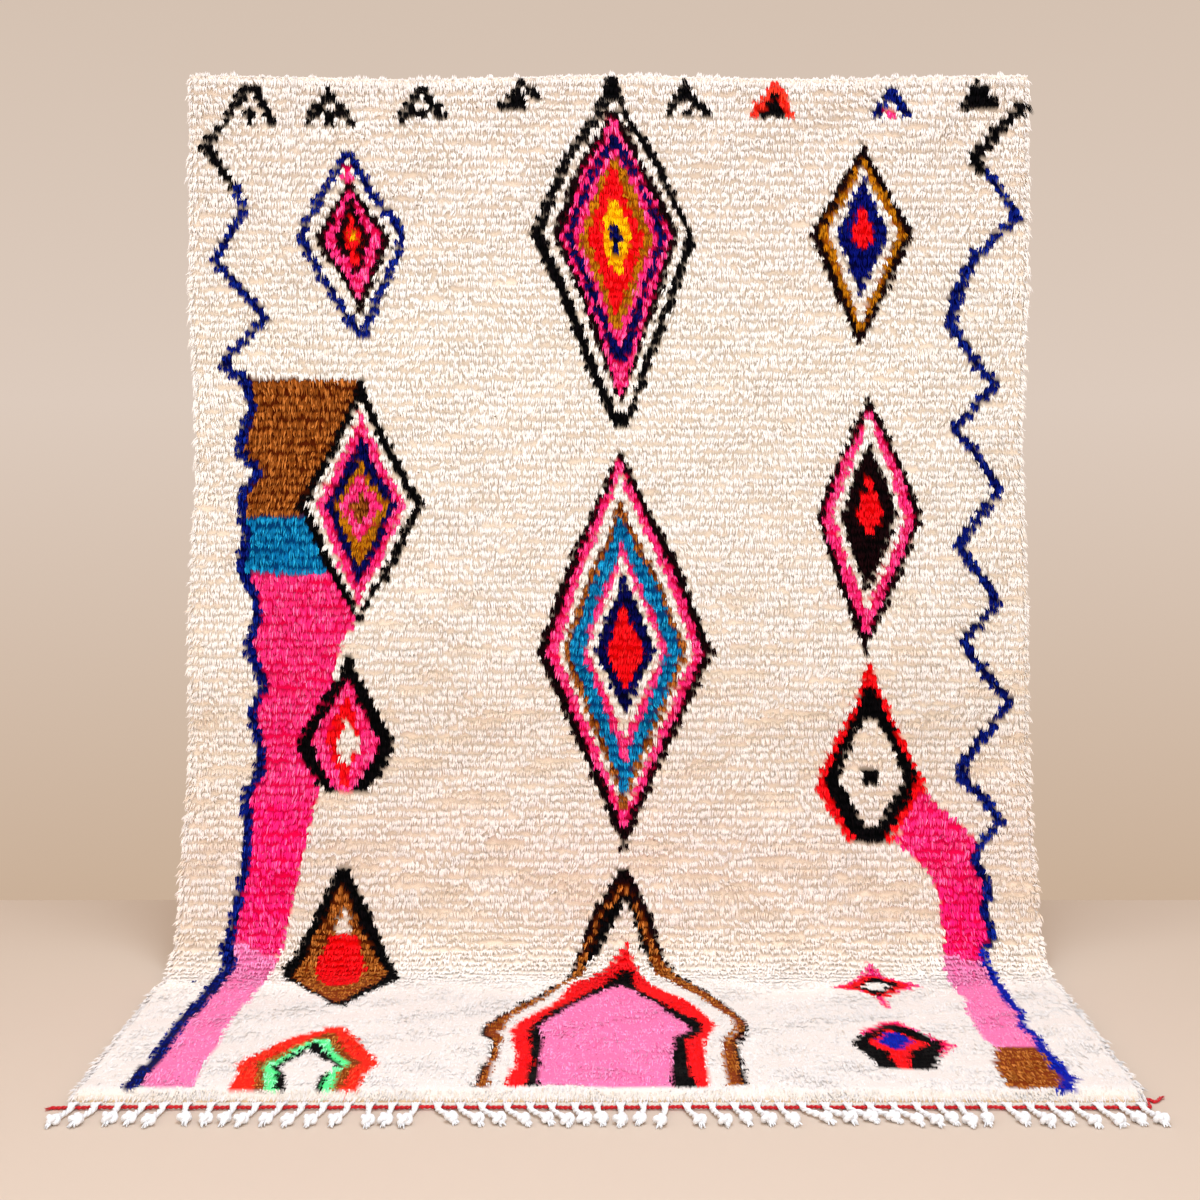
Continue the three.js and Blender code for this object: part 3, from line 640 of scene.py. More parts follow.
def make_pile(name, first_row, last_row, seed):
    """One band of the pile: tufts that rise from their knots, turn down and hang over the next row."""
    rng = np.random.default_rng(seed)
    rows = np.arange(first_row, last_row)
    row, knot = (a.ravel() for a in np.meshgrid(rows, np.arange(KNOTS_ACROSS), indexing="ij"))
    knots = len(row)
    u_knot = (knot + 0.5) * KNOT - RUG_WIDTH / 2 + 0.0012 * rng.standard_normal(knots)
    v_knot = (row + 0.5) * ROW + 0.0024 * rng.standard_normal(knots)
    v_knot = v_knot + 0.0025 * np.sin(u_knot / 0.047 + 2.1 * row)
    # The row above the first one stands in the wavy top edge
    v_knot = np.where(row < 0, top_edge(u_knot) + 0.002, v_knot)
    v_chart = (row + 0.5) * ROW
    yarn_knot = yarn_at(drawn(u_knot, v_chart), v_chart + reach_at(v_chart))
    lean_aside = 0.0018 * rng.standard_normal(knots) + 0.0032 * tousle_at(u_knot, v_knot)
    lean_down = 0.0195 + 0.0022 * rng.standard_normal(knots) + 0.002 * tousle_at(v_knot, u_knot)
    ripple = np.sin(u_knot / 0.033 + 5.0 * chance(row, 61.0))
    lean_down += 0.0022 * ripple * np.sin(u_knot / 0.21 + 1.3 * row)
    lean_down -= 0.0050 * parting_at(u_knot, v_knot, row)
    tone_knot = 0.02 * rng.standard_normal(knots) + 0.015 * tousle_at(u_knot * 1.7, v_knot * 0.6)

    each = np.repeat(np.arange(knots), TUFTS_IN_KNOT)
    place = np.tile(np.arange(TUFTS_IN_KNOT) - (TUFTS_IN_KNOT - 1) / 2, knots)
    count = len(each)
    u0 = u_knot[each]
    v0 = v_knot[each]
    # 0 where the rug hangs, 1 where it lies
    flat = smooth((v0 - LYING_FROM + 0.19) / 0.19)
    rim = np.clip((np.abs(u0) - RUG_WIDTH / 2 + 0.030) / 0.030, 0.0, 1.0) * np.sign(u0)
    rim *= 0.5 + 0.9 * chance(row[each], 23.0 + np.sign(u0))
    rim *= rng.uniform(0.6, 1.3, count)
    root_u = u0 + 0.0012 * place
    steady = 1.0 - 0.5 * smooth((v0 - 0.9) / 0.6) * (1.0 - flat)
    root_v = v0 + 0.0020 * steady * rng.standard_normal(count)
    mid_u = u0 + 0.0021 * place + 0.0008 * rng.standard_normal(count) + 0.3 * lean_aside[each] + 0.004 * rim
    mid_v = root_v + 0.0085 + 0.0022 * (1.0 - flat) + 0.0016 * rng.standard_normal(count)
    tip_u = mid_u + 0.7 * lean_aside[each] + 0.0016 * rng.standard_normal(count) + 0.006 * rim
    ragged = 0.0034 * steady + 0.0050 * flat
    fall = lean_down[each] + 0.0045 * (1.0 - flat)
    tip_v = np.maximum(v0 + fall + ragged * rng.standard_normal(count), mid_v + 0.003)
    lump = lump_at(u0, v0)
    near_rim = 1.0 - 0.10 * np.abs(rim)
    uneven = 1.0 - 0.5 * flat
    back_h = TUFT_BACK + (TUFT_BACK_LYING - TUFT_BACK) * flat
    mid_h = (back_h + lump + 0.0014 * uneven * rng.standard_normal(count)) * near_rim * front_fall(mid_v)
    tip_h = (TUFT_TIP + lump + 0.0020 * uneven * rng.standard_normal(count)) * near_rim * front_fall(tip_v)

    middle = rug_points(mid_u, mid_v, mid_h)
    out = rug_points(mid_u, mid_v, mid_h + 0.001) - middle
    down = rug_points(mid_u, mid_v + 0.001, mid_h) - middle
    thick = rng.uniform(0.8, 1.25, count)[:, None]
    spin = rng.uniform(-0.5, 0.5, count)[:, None]
    across = np.array([1.0, 0.0, 0.0])
    lift = (0.85 * out - 0.5 * down) * 1000.0
    aside = TUFT_WIDTH * thick * (np.cos(spin) * across + np.sin(spin) * lift)
    upward = TUFT_DEPTH * thick * (np.cos(spin) * lift - np.sin(spin) * across)
    root = rug_points(root_u, root_v, TUFT_ROOT)
    tip = rug_points(tip_u, tip_v, tip_h)
    points, faces, layout = spindles(root, middle, tip, aside, upward)
    # Each tuft's yarn colour, with the painted light and shade down the rug on the cream
    colours = painted_light_down_rug(tuft_colours(yarn_knot[each], rng, tone_knot[each]), u0, v0)
    lying = flat[:, None]
    bold = (colours.min(axis=-1) < PALE_FROM)[:, None, None]
    # Painted shade and highlight along each tuft, from the tables above, weaker where the pale pile lies
    shade = np.where(bold, BOLD_PAINTED_SHADE, PALE_PAINTED_SHADE)
    shade = 1.0 + (shade - 1.0) * np.where(bold, 1.0, 1.0 - 0.85 * lying[:, None])
    shade = shade * np.where(bold, colours[:, None] ** BOLD_PAINTED_DEEPENING, 1.0)
    # Bright tufts that lie flat show as streaks
    shade = shade * (1.0 - 0.22 * (bold * lying[:, None]) * rng.random(count)[:, None, None])
    # Painted shadow in the crevice under a parting of the row above
    parting_shadow = parting_at(u_knot, v_knot, row - 1)[each]
    shade[:, 1:4] -= parting_shadow[:, None, None] * PARTING_PAINTED_SHADOW
    colours = (colours[:, None] * shade).reshape(-1, 3)
    roundness = TUFT_ROUND * (1.0 - 0.75 * lying) * (1.0 + (0.8 + 1.6 * lying) * bold[:, 0])
    normals = combed_normals(points, (out + 0.35 * lying * down) * 1000.0, roundness)
    piece = make_piece(name, points.reshape(-1, 3), faces, layout, "wool_pile", colours, normals)
    piece.data.materials.append(pile_wool)
    return piece


def make_rim(name, seed):
    """The tufts that stand out of the sides, the top edge and the front, in locks a row or a clump wide.

    The tips of a lock draw together: at the sides toward the middle of their row, and at the top
    edge toward the middle of their clump. Those of the front droop over the end band.
    """
    rng = np.random.default_rng(seed)
    half = RUG_WIDTH / 2
    groups = []
    count = KNOT_ROWS * TUFTS_ALONG_ROW_END
    for side in (-1.0, 1.0):
        v = (np.arange(count) + rng.random(count)) * PILE_LENGTH / count
        row = np.floor(v / ROW)
        off = v - (row + 0.5) * ROW
        lock = 0.007 + 0.012 * chance(row, 21.0 + side) ** 1.5
        reach = lock * (1.0 - 1.1 * np.abs(off) / ROW) * rng.uniform(0.8, 1.15, count)
        h = rng.uniform(0.001, 0.0165, count)
        u = side * (half - rng.uniform(0.003, 0.013, count))
        fall = 0.004 - 0.6 * off + rng.uniform(0.0, 0.012, count)
        groups.append((u, v, h, side * reach, fall, h + 0.003, h + 0.003 * (rng.random(count) - 0.3)))
    on_side = 2 * count
    count = KNOTS_ACROSS * TUFTS_ABOVE_KNOT
    u = -half + (np.arange(count) + rng.random(count)) * RUG_WIDTH / count
    clump = np.floor((u + 0.004 * np.sin(u / 0.031)) / TOP_CLUMP)
    off = u - (clump + 0.5) * TOP_CLUMP
    rise = (0.005 + 0.010 * chance(clump, 29.0) ** 1.5) * rng.uniform(0.7, 1.15, count)
    h = rng.uniform(0.002, 0.019, count)
    aside = -0.5 * off + 0.002 * rng.standard_normal(count)
    groups.append((u, top_edge(u) + 0.004, h, aside, -rise, h + 0.002, h + 0.004 * rng.random(count)))
    count = KNOTS_ACROSS * TUFTS_BEFORE_KNOT
    u = -half + (np.arange(count) + rng.random(count)) * RUG_WIDTH / count
    v = PILE_LENGTH - rng.uniform(0.0, 0.018, count) - 0.007 * chance(np.floor(u / 0.011), 77.0) + 0.003
    droop = rng.uniform(0.010, 0.020, count) + 0.002 * np.sin(u / 0.017 + 2.0 * np.sin(u / 0.09))
    tip_h = FRONT_TUFT * front_fall(v + droop) + rng.uniform(0.0, 0.002, count)
    mid_h = FRONT_TUFT * front_fall(v + 0.45 * droop) + rng.uniform(0.0, 0.003, count)
    groups.append((u, v, np.full(count, TUFT_ROOT), 0.004 * rng.standard_normal(count), droop, mid_h, tip_h))
    on_front = count

    u, v, h, reach, fall, mid_h, tip_h = (np.concatenate(a) for a in zip(*groups))
    count = len(u)
    middle = rug_points(u + 0.5 * reach, v + 0.45 * fall, mid_h)
    out = (rug_points(u, v, h + 0.001) - rug_points(u, v, h)) * 1000.0
    down = (rug_points(u, v + 0.001, h) - rug_points(u, v, h)) * 1000.0
    across = np.where((np.arange(count) < on_side)[:, None], down, np.array([1.0, 0.0, 0.0]))
    root = rug_points(u, v, h)
    tip = rug_points(u + reach, v + fall, tip_h)
    across *= np.sign(np.einsum("ij,ij->i", np.cross(across, out), tip - root))[:, None]
    points, faces, layout = spindles(root, middle, tip, RIM_TUFT_WIDTH * across, TUFT_DEPTH * out)
    yarn = np.full(count, YARN_NAMES.index("cream"))
    in_lip = np.arange(count) >= count - on_front
    colours = tuft_colours(yarn, rng, 0.02 * rng.standard_normal(count))
    # The front lip's tufts get painted shade; the others get the painted light and shade down the rug
    colours = np.where(in_lip[:, None], colours * END_PAINTED_SHADE, painted_light_down_rug(colours, u, v))
    drooping = in_lip[:, None]
    normals = combed_normals(points, out + 0.4 * drooping * down, np.full((count, 1), TUFT_ROUND))
    colours = np.repeat(colours, 5, axis=0)
    piece = make_piece(name, points.reshape(-1, 3), faces, layout, "wool_pile", colours, normals)
    piece.data.materials.append(pile_wool)
    return piece


def make_ground():
    """The woven ground with the feet of the pile on it: a thin closed sheet on the rug's way.

    Its front is a grid at the knots' spacing, its back another, and four strips close the rim.
    """
    half = RUG_WIDTH / 2 - 0.0005
    u = np.linspace(-half, half, KNOTS_ACROSS + 1)
    downs = np.concatenate(
        [np.arange(KNOT_ROWS) * ROW, PILE_LENGTH + np.array([-0.003, END_CREASE_AT, END_BAND])]
    )
    feet = np.maximum(feet_at(downs) * front_fall(downs), GROUND)
    feet = np.where(downs < PILE_LENGTH + END_CREASE_AT, feet, GROUND)
    uu, vv = np.meshgrid(u, downs)
    hh = np.repeat(feet[:, None], len(u), axis=1)
    vv[0] = top_edge(u)
    hh[:, [0, -1]] *= 0.8
    hh = hh + np.where(hh > 0.01, 0.85 * lump_at(uu, vv), 0.0)
    rows, columns = uu.shape
    front = np.arange(rows * columns).reshape(rows, columns)
    back = front + rows * columns
    points = np.concatenate([rug_points(uu, vv, hh).reshape(-1, 3), rug_points(uu, vv, 0.0).reshape(-1, 3)])
    strips = [
        (front, flat_layout(rows, columns, (0.0, 0.97), (0.48, 0.0))),
        (back[:, ::-1], flat_layout(rows, columns, (0.52, 0.97), (1.0, 0.0))),
        (np.stack([back[:, 0], front[:, 0]], axis=1), flat_layout(rows, 2, (0.485, 0.97), (0.497, 0.0))),
        (np.stack([front[:, -1], back[:, -1]], axis=1), flat_layout(rows, 2, (0.503, 0.97), (0.515, 0.0))),
        (np.stack([back[0], front[0]]), flat_layout(2, columns, (0.0, 0.985), (1.0, 0.975))),
        (np.stack([front[-1], back[-1]]), flat_layout(2, columns, (0.0, 1.0), (1.0, 0.99))),
    ]
    patches = [patch(index, layout) for index, layout in strips]
    faces = np.concatenate([p[0] for p in patches])
    layout = np.concatenate([p[1] for p in patches])
    turned = outward(points, faces)
    if turned is not faces:
        layout = layout[:, ::-1]
    yarn = yarn_at(drawn(uu, vv), vv + reach_at(vv) - ROW / 2)
    # The ground's yarn colours, with the painted light and shade down the rug on the cream
    colours = painted_light_down_rug(YARN_MAIN[yarn], uu, vv).reshape(-1, 3)
    plain = (vv > PILE_LENGTH - 0.01).reshape(-1)
    # Where the pile meets the end band, a painted shadow line
    crease = (np.abs(vv - PILE_LENGTH - END_CREASE_AT) < 0.001).reshape(-1)
    lying = smooth((vv - LYING_FROM + 0.16) / 0.2).reshape(-1, 1)
    bold = colours.min(axis=-1, keepdims=True) < PALE_FROM
    # Painted shade on the ground between the tufts: deepened by a power of its own colour under bright and
    # dark tufts, and weaker where the pile lies
    shaded = colours * np.where(bold, colours ** 0.5, 1.0 + (GROUND_PAINTED_SHADE - 1.0) * (1.0 - 0.75 * lying))
    # The end band gets the same painted shade as the lip
    shaded[plain] = YARN_MAIN[0] * END_PAINTED_SHADE
    shaded[crease] = linear(END_CREASE)
    colours = np.concatenate([shaded, colours])
    piece = make_piece("rug_ground", points, turned, layout, "wool_pile", colours)
    cloth = piece.data.uv_layers.new(name="cloth")
    places = np.concatenate([np.stack([uu, vv], axis=-1).reshape(-1, 2)] * 2)
    cloth.data.foreach_set("uv", places[turned].astype(np.float32).ravel())
    piece.data.materials.append(pile_wool)
    piece.data.materials.append(woven_ground)
    woven = np.ones(len(turned), np.int32)
    woven[: 2 * (columns - 1) * (KNOT_ROWS + 1)] = 0
    piece.data.polygons.foreach_set("material_index", woven)
    return piece


def path_frames(paths):
    """The direction of each path, and two directions square to it: to its side, level, and upward."""
    along = np.gradient(paths, axis=-2)
    along /= np.linalg.norm(along, axis=-1, keepdims=True)
    side = np.cross(along, (0.0, 0.0, 1.0))
    side /= np.linalg.norm(side, axis=-1, keepdims=True)
    return along, side, np.cross(side, along)


def tubes(paths, radii, sides):
    """Closed tubes along many paths at once: a ring of points square to the path at each of its
    points, with the radius given there, and a point that closes each end."""
    count, steps, _ = paths.shape
    along, side, top = path_frames(paths)
    turn = 2 * np.pi * np.arange(sides) / sides
    ring = np.cos(turn)[:, None] * side[:, :, None] + np.sin(turn)[:, None] * top[:, :, None]
    body = paths[:, :, None] + radii[:, :, None, None] * ring
    start = paths[:, :1] - 0.7 * radii[:, :1, None] * along[:, :1]
    end = paths[:, -1:] + 0.7 * radii[:, -1:, None] * along[:, -1:]
    points = np.concatenate([body.reshape(count, -1, 3), start, end], axis=1)
    index = np.arange(steps * sides).reshape(steps, sides)
    index = np.concatenate([index, index[:, :1]], axis=1)
    first = np.full((1, sides + 1), steps * sides)
    last = first + 1
    whole = np.concatenate([first, index, last])
    one, flat = patch(whole, flat_layout(steps + 2, sides + 1, (0.05, 0.02), (0.95, 0.98)))
    solid = (one[:, 0] != one[:, 1]) & (one[:, 1] != one[:, 2]) & (one[:, 2] != one[:, 0])
    one = one[solid]
    flat = flat[solid]
    turned = outward(points[0], one)
    if turned is not one:
        flat = flat[:, ::-1]
    faces = (turned[None] + points.shape[1] * np.arange(count)[:, None, None]).reshape(-1, 3)
    layout = np.repeat(flat[None], count, axis=0)
    return points.reshape(-1, 3), faces, layout


def joined_tubes(groups):
    """Groups of tubes as one set of arrays, each tube with a cell of its own on the flat layout."""
    total = sum(len(layout) for _, _, layout in groups)
    side = int(math.ceil(math.sqrt(total)))
    points, faces, layouts = [], [], []
    base = 0
    cell = 0
    for group_points, group_faces, layout in groups:
        number = cell + np.arange(len(layout))
        corner = np.stack([number % side, number // side], axis=1)[:, None, None]
        points.append(group_points)
        faces.append(group_faces + base)
        layouts.append(((corner + 0.03 + 0.94 * layout) / side).reshape(-1, 3, 2))
        base += len(group_points)
        cell += len(layout)
    return np.concatenate(points), np.concatenate(faces), np.concatenate(layouts)


def tassel_ways():
    """Each tassel's root across, its lean in radians and its length, as the solid fringe has them."""
    leans = [degrees for count, degrees in LEANS for _ in range(count)]
    for i in range(len(leans) - 2, -1, -1):
        leans[i] = min(leans[i], leans[i + 1] + LEAN_DROP)
    number = np.arange(TASSELS)
    span = RUG_WIDTH - 2 * TASSEL_MARGIN
    x = -span / 2 + span * number / (TASSELS - 1) + 0.005 * (chance(number, 5) - 0.5)
    length = TASSEL_LENGTH * (0.9 + 0.2 * chance(number, 6))
    return x, np.radians(leans), length


def tassel_path(share, x, lean, length):
    """The middle line of each tassel on the floor: it leaves the heading straight and turns to its lean."""
    along = share * length[:, None]
    path_x = x[:, None] + along * np.sin(lean)[:, None] * smooth(share * 1.6)
    path_y = front_y - HEADING_DEPTH - along * np.cos(lean * 0.9)[:, None]
    return np.stack([path_x, path_y, np.full(path_x.shape, floor_z)], axis=-1)


def make_fringe():
    """The fringe: gathered warp ends over the heading, a two-ply rope, a knot and a frayed end each."""
    rng = np.random.default_rng(61)
    x, lean, length = tassel_ways()
    number = np.arange(TASSELS)
    groups = []

    # Warp ends gathered from a span of the heading into the rope
    steps = 7
    share = np.linspace(0.0, 1.0, steps)
    to = tassel_path(np.full((TASSELS, 1), GATHERED_AT), x, lean, length)[:, 0]
    for k in range(WARP_ENDS):
        spread = (k - (WARP_ENDS - 1) / 2) * WARP_END_SPACING + 0.001 * rng.standard_normal(TASSELS)
        place = (x + spread, np.full(TASSELS, front_y - 0.001), np.full(TASSELS, floor_z + 0.0045))
        start = np.stack(place, 1)
        way = start[:, None] + (to - start)[:, None] * smooth(share)[None, :, None]
        way[..., 0] = (x + spread)[:, None] + (to[:, 0] - x - spread * 0.82)[:, None] * smooth(share)[None]
        way[..., 2] = floor_z + 0.0045 + 0.0062 * np.sin(np.pi * share**0.7)[None] + 0.001 * (k % 2)
        groups.append(tubes(way, np.full((TASSELS, steps), WARP_END), 4))

    # The rope: two plies that wind round the middle line
    steps = 22
    share = np.linspace(ROPE_FROM, ROPE_TO, steps)[None] * np.ones((TASSELS, 1))
    middle = tassel_path(share, x, lean, length)
    middle[..., 2] += 0.0074
    _, side, top = path_frames(middle)
    for ply in (0, 1):
        turn = 2 * np.pi * share * length[:, None] / ROPE_TWIST + np.pi * ply
        turn = turn + 6.28 * chance(number, 9)[:, None]
        way = middle + ROPE_OFFSET * (np.cos(turn)[..., None] * side + np.sin(turn)[..., None] * top)
        swell = 1.0 + 0.12 * np.sin(9.0 * share + 3.0 * chance(number, 11)[:, None])
        groups.append(tubes(way, ROPE_PLY * swell, 6))

    # The knot: an overhand knot, which runs round three lobes and under and over itself
    steps = 22
    turn = 2 * np.pi * np.arange(steps + 1) / steps
    lobes_x = np.sin(turn) + 2 * np.sin(2 * turn)
    lobes_y = np.cos(turn) - 2 * np.cos(2 * turn)
    lobes_z = -np.sin(3 * turn)
    size = TASSEL_KNOT_LOBE * (0.9 + 0.3 * chance(number, 13))
    spin = 6.28 * chance(number, 15)[:, None]
    centre = tassel_path(np.full((TASSELS, 1), TASSEL_KNOT_AT), x, lean, length)[:, 0]
    way = np.stack(
        [
            centre[:, None, 0] + size[:, None] * (lobes_x * np.cos(spin) - lobes_y * np.sin(spin)),
            centre[:, None, 1] + size[:, None] * (lobes_x * np.sin(spin) + lobes_y * np.cos(spin)),
            floor_z + 0.0098 + 1.2 * size[:, None] * lobes_z,
        ],
        axis=-1,
    )
    groups.append(tubes(way, np.full((TASSELS, steps + 1), TASSEL_KNOT_STRAND), 6))

    # The frayed end: threads that fan out of the knot and droop to the floor
    steps = 5
    share = np.linspace(0.0, 1.0, steps)
    for k in range(FRAYED_THREADS):
        fan = lean + (k - (FRAYED_THREADS - 1) / 2) * 0.065 + 0.08 * rng.standard_normal(TASSELS)
        reach = 0.0110 + 0.008 * rng.random(TASSELS)
        start = centre + np.stack([0.004 * np.sin(fan), -0.004 * np.cos(fan), 0.009 * np.ones(TASSELS)], 1)
        way = start[:, None] + np.stack(
            [
                reach[:, None] * np.sin(fan)[:, None] * share,
                -reach[:, None] * np.cos(fan)[:, None] * share,
                (0.002 * (k % 3) - 0.0075) * np.ones(TASSELS)[:, None] * share**1.5,
            ],
            axis=-1,
        )
        radii = np.repeat((0.0024 - 0.0008 * share)[None], TASSELS, axis=0)
        groups.append(tubes(way, radii, 3))

    # The heading that the warp ends come out of
    steps = 2 * TASSELS
    half = RUG_WIDTH / 2 - 0.004
    run = np.linspace(-half, half, steps)
    for k in range(2):
        y = front_y + 0.0030 - 0.0028 * k + 0.0005 * np.sin(run / 0.013 + k)
        way = np.stack([run, y, np.full(steps, floor_z + 0.0019)], 1)[None]
        groups.append(tubes(way, np.full((1, steps), HEADING_CORD), 4))

    piece = make_piece("knotted_fringe", *joined_tubes(groups), "white_cotton")
    piece.data.materials.append(white_cotton)
    return piece


def make_red_yarn():
    """The red yarn along the heading: two plies twisted together, with a frayed end and a free tail."""
    rng = np.random.default_rng(17)
    half = RUG_WIDTH / 2
    y = front_y - RED_FORWARD
    held_z = floor_z + RED_HELD_HEIGHT
    low_z = floor_z + RED_LOOSE_HEIGHT
    number = np.arange(RED_HOLDS)
    held_x = np.linspace(-half, half, RED_HOLDS)
    over = 0.0012 * (chance(number, 41.0) > 0.5)
    held = np.stack([held_x, y + 0.0010 * (-1.0) ** number, held_z + over], 1)
    left = np.array([[-half - 0.030, y + 0.003, low_z], [-half - 0.016, y + 0.001, low_z]])
    tail = [(0.003, 0.018), (0.001, 0.038), (0.009, 0.046), (0.015, 0.030), (0.023, 0.036), (0.034, 0.052)]
    right = np.array([[half + across, y + back, low_z] for across, back in tail])
    stations = np.concatenate([left, held, right])
    run = np.concatenate([[0], np.cumsum(np.linalg.norm(np.diff(stations, axis=0), axis=1))])
    even = np.arange(0, run[-1], 0.0028)
    middle = np.stack([np.interp(even, run, stations[:, k]) for k in range(3)], 1)
    soft = np.ones(5) / 5
    ends = (middle[:2].copy(), middle[-2:].copy())
    middle = np.stack([np.convolve(np.pad(middle[:, k], 2, "edge"), soft, "valid") for k in range(3)], 1)
    middle[:2], middle[-2:] = ends
    _, side, top = path_frames(middle[None])
    groups = []
    for ply in (0, 1):
        turn = 2 * np.pi * even / RED_TWIST + np.pi * ply
        way = middle + RED_PLY_OFFSET * (np.cos(turn)[:, None] * side[0] + np.sin(turn)[:, None] * top[0])
        groups.append(tubes(way[None], np.full((1, len(even)), RED_PLY), 4))
    threads = RED_END_THREADS
    share = np.linspace(0.0, 1.0, 5)
    for start, way_out in ((middle[3], -1.0), (middle[-4], 1.0)):
        fan = 0.28 * rng.standard_normal(threads) + (0.0 if way_out < 0 else 0.9)
        reach = rng.uniform(0.012, 0.020, threads)
        way = start[None, None] + np.stack(
            [
                way_out * (reach * np.cos(fan))[:, None] * share,
                (reach * np.sin(fan))[:, None] * share,
                (0.0012 * rng.standard_normal(threads))[:, None] * share,
            ],
            axis=-1,
        )
        groups.append(tubes(way, np.repeat((0.0012 - 0.0007 * share)[None], threads, axis=0), 3))
    piece = make_piece("red_yarn", *joined_tubes(groups), "red_wool")
    piece.data.materials.append(red_wool)
    return piece


def new_material(name):
    """An empty material with its principled shader, its node tree and its links."""
    material = bpy.data.materials.new(name)
    material.use_nodes = True
    tree = material.node_tree
    shader = next(n for n in tree.nodes if n.type == "BSDF_PRINCIPLED")
    return material, tree, shader


def noise_node(tree, vector, scale, detail, rough=0.5):
    """A noise texture on the given coordinates."""
    noise = tree.nodes.new("ShaderNodeTexNoise")
    noise.inputs["Scale"].default_value = scale
    noise.inputs["Detail"].default_value = detail
    noise.inputs["Roughness"].default_value = rough
    tree.links.new(vector, noise.inputs["Vector"])
    return noise.outputs["Fac"]


def ranged(tree, value, low, high, to_low, to_high):
    """A value mapped from one range to another."""
    node = tree.nodes.new("ShaderNodeMapRange")
    for socket, number in zip(("From Min", "From Max", "To Min", "To Max"), (low, high, to_low, to_high)):
        node.inputs[socket].default_value = number
    tree.links.new(value, node.inputs["Value"])
    return node.outputs["Result"]


def maths(tree, operation, *values):
    """A math node whose inputs are numbers or sockets."""
    node = tree.nodes.new("ShaderNodeMath")
    node.operation = operation
    for socket, value in zip(node.inputs, values):
        if isinstance(value, (int, float)):
            socket.default_value = value
        else:
            tree.links.new(value, socket)
    return node.outputs[0]


def toned(tree, colour, tone):
    """A colour made lighter or darker by a value."""
    node = tree.nodes.new("ShaderNodeVectorMath")
    node.operation = "SCALE"
    tree.links.new(colour, node.inputs[0])
    tree.links.new(tone, node.inputs["Scale"])
    return node.outputs["Vector"]


def bumped(tree, shader, height, distance, strength):
    """A bump on the shader's normal."""
    bump = tree.nodes.new("ShaderNodeBump")
    bump.inputs["Distance"].default_value = distance
    bump.inputs["Strength"].default_value = strength
    tree.links.new(height, bump.inputs["Height"])
    tree.links.new(bump.outputs["Normal"], shader.inputs["Normal"])


def coloured(tree, shader, colour, tone):
    """The shader's base colour: a colour made lighter or darker by a value."""
    tree.links.new(toned(tree, colour, tone), shader.inputs["Base Color"])


def object_place(tree):
    """The place on the object, in metres."""
    return tree.nodes.new("ShaderNodeTexCoord").outputs["Object"]


def make_pile_wool():
    """Hand-spun wool tufts: the yarn's colour from the mesh, with fine fibres lighter and darker."""
    material, tree, shader = new_material("hand_spun_wool_pile")
    wool = tree.nodes.new("ShaderNodeAttribute")
    wool.attribute_name = "wool_colour"
    place = object_place(tree)
    fibres = ranged(tree, noise_node(tree, place, 620, 2), 0.3, 0.7, 0.90, 1.09)
    patches = ranged(tree, noise_node(tree, place, 7, 3), 0.3, 0.7, 0.975, 1.02)
    coloured(tree, shader, wool.outputs["Color"], maths(tree, "MULTIPLY", fibres, patches))
    shader.inputs["Roughness"].default_value = 0.88
    shader.inputs["Specular IOR Level"].default_value = 0.05
    shader.inputs["Sheen Weight"].default_value = 0.02
    shader.inputs["Sheen Roughness"].default_value = 0.45
    bumped(tree, shader, noise_node(tree, place, 1500, 2), 0.0006, 0.5)
    return material


def make_woven_ground():
    """The weft-faced ground: fine ribs of weft, and on the back a row of knot nubs in the pile's yarns."""
    material, tree, shader = new_material("woven_ground_wool")
    cloth = tree.nodes.new("ShaderNodeUVMap")
    cloth.uv_map = "cloth"
    split = tree.nodes.new("ShaderNodeSeparateXYZ")
    tree.links.new(cloth.outputs["UV"], split.inputs[0])
    across, down = split.outputs["X"], split.outputs["Y"]
    wool = tree.nodes.new("ShaderNodeAttribute")
    wool.attribute_name = "wool_colour"
    wander = maths(tree, "MULTIPLY", noise_node(tree, object_place(tree), 60, 2), 0.004)
    down_here = maths(tree, "ADD", down, wander)
    row = maths(tree, "FRACT", maths(tree, "DIVIDE", down_here, ROW))
    nub_row = maths(tree, "COMPARE", row, 0.5, 0.22)
    rib = maths(tree, "SINE", maths(tree, "MULTIPLY", down_here, 2 * math.pi / 0.0031))
    warp = maths(tree, "SINE", maths(tree, "MULTIPLY", across, 2 * math.pi / (KNOT / 2)))
    nub = maths(tree, "MULTIPLY", maths(tree, "ABSOLUTE", warp), nub_row)
    weave = maths(tree, "ADD", maths(tree, "MULTIPLY", rib, 0.35), maths(tree, "MULTIPLY", warp, 0.25))
    height = maths(tree, "ADD", weave, nub)
    mix = tree.nodes.new("ShaderNodeMix")
    mix.data_type = "RGBA"
    weft = linear((238, 226, 210))
    mix.inputs["A"].default_value = (*weft, 1.0)
    tree.links.new(wool.outputs["Color"], mix.inputs["B"])
    tree.links.new(nub_row, mix.inputs["Factor"])
    # Painted shade: the cloth is darker in the hollows of the weave, where the bump sinks
    tone = ranged(tree, height, -0.6, 1.6, 0.80, 1.05)
    grain = ranged(tree, noise_node(tree, object_place(tree), 420, 3), 0.3, 0.7, 0.9, 1.06)
    coloured(tree, shader, mix.outputs["Result"], maths(tree, "MULTIPLY", tone, grain))
    shader.inputs["Roughness"].default_value = 0.92
    shader.inputs["Specular IOR Level"].default_value = 0.15
    bumped(tree, shader, height, 0.0011, 0.7)
    return material


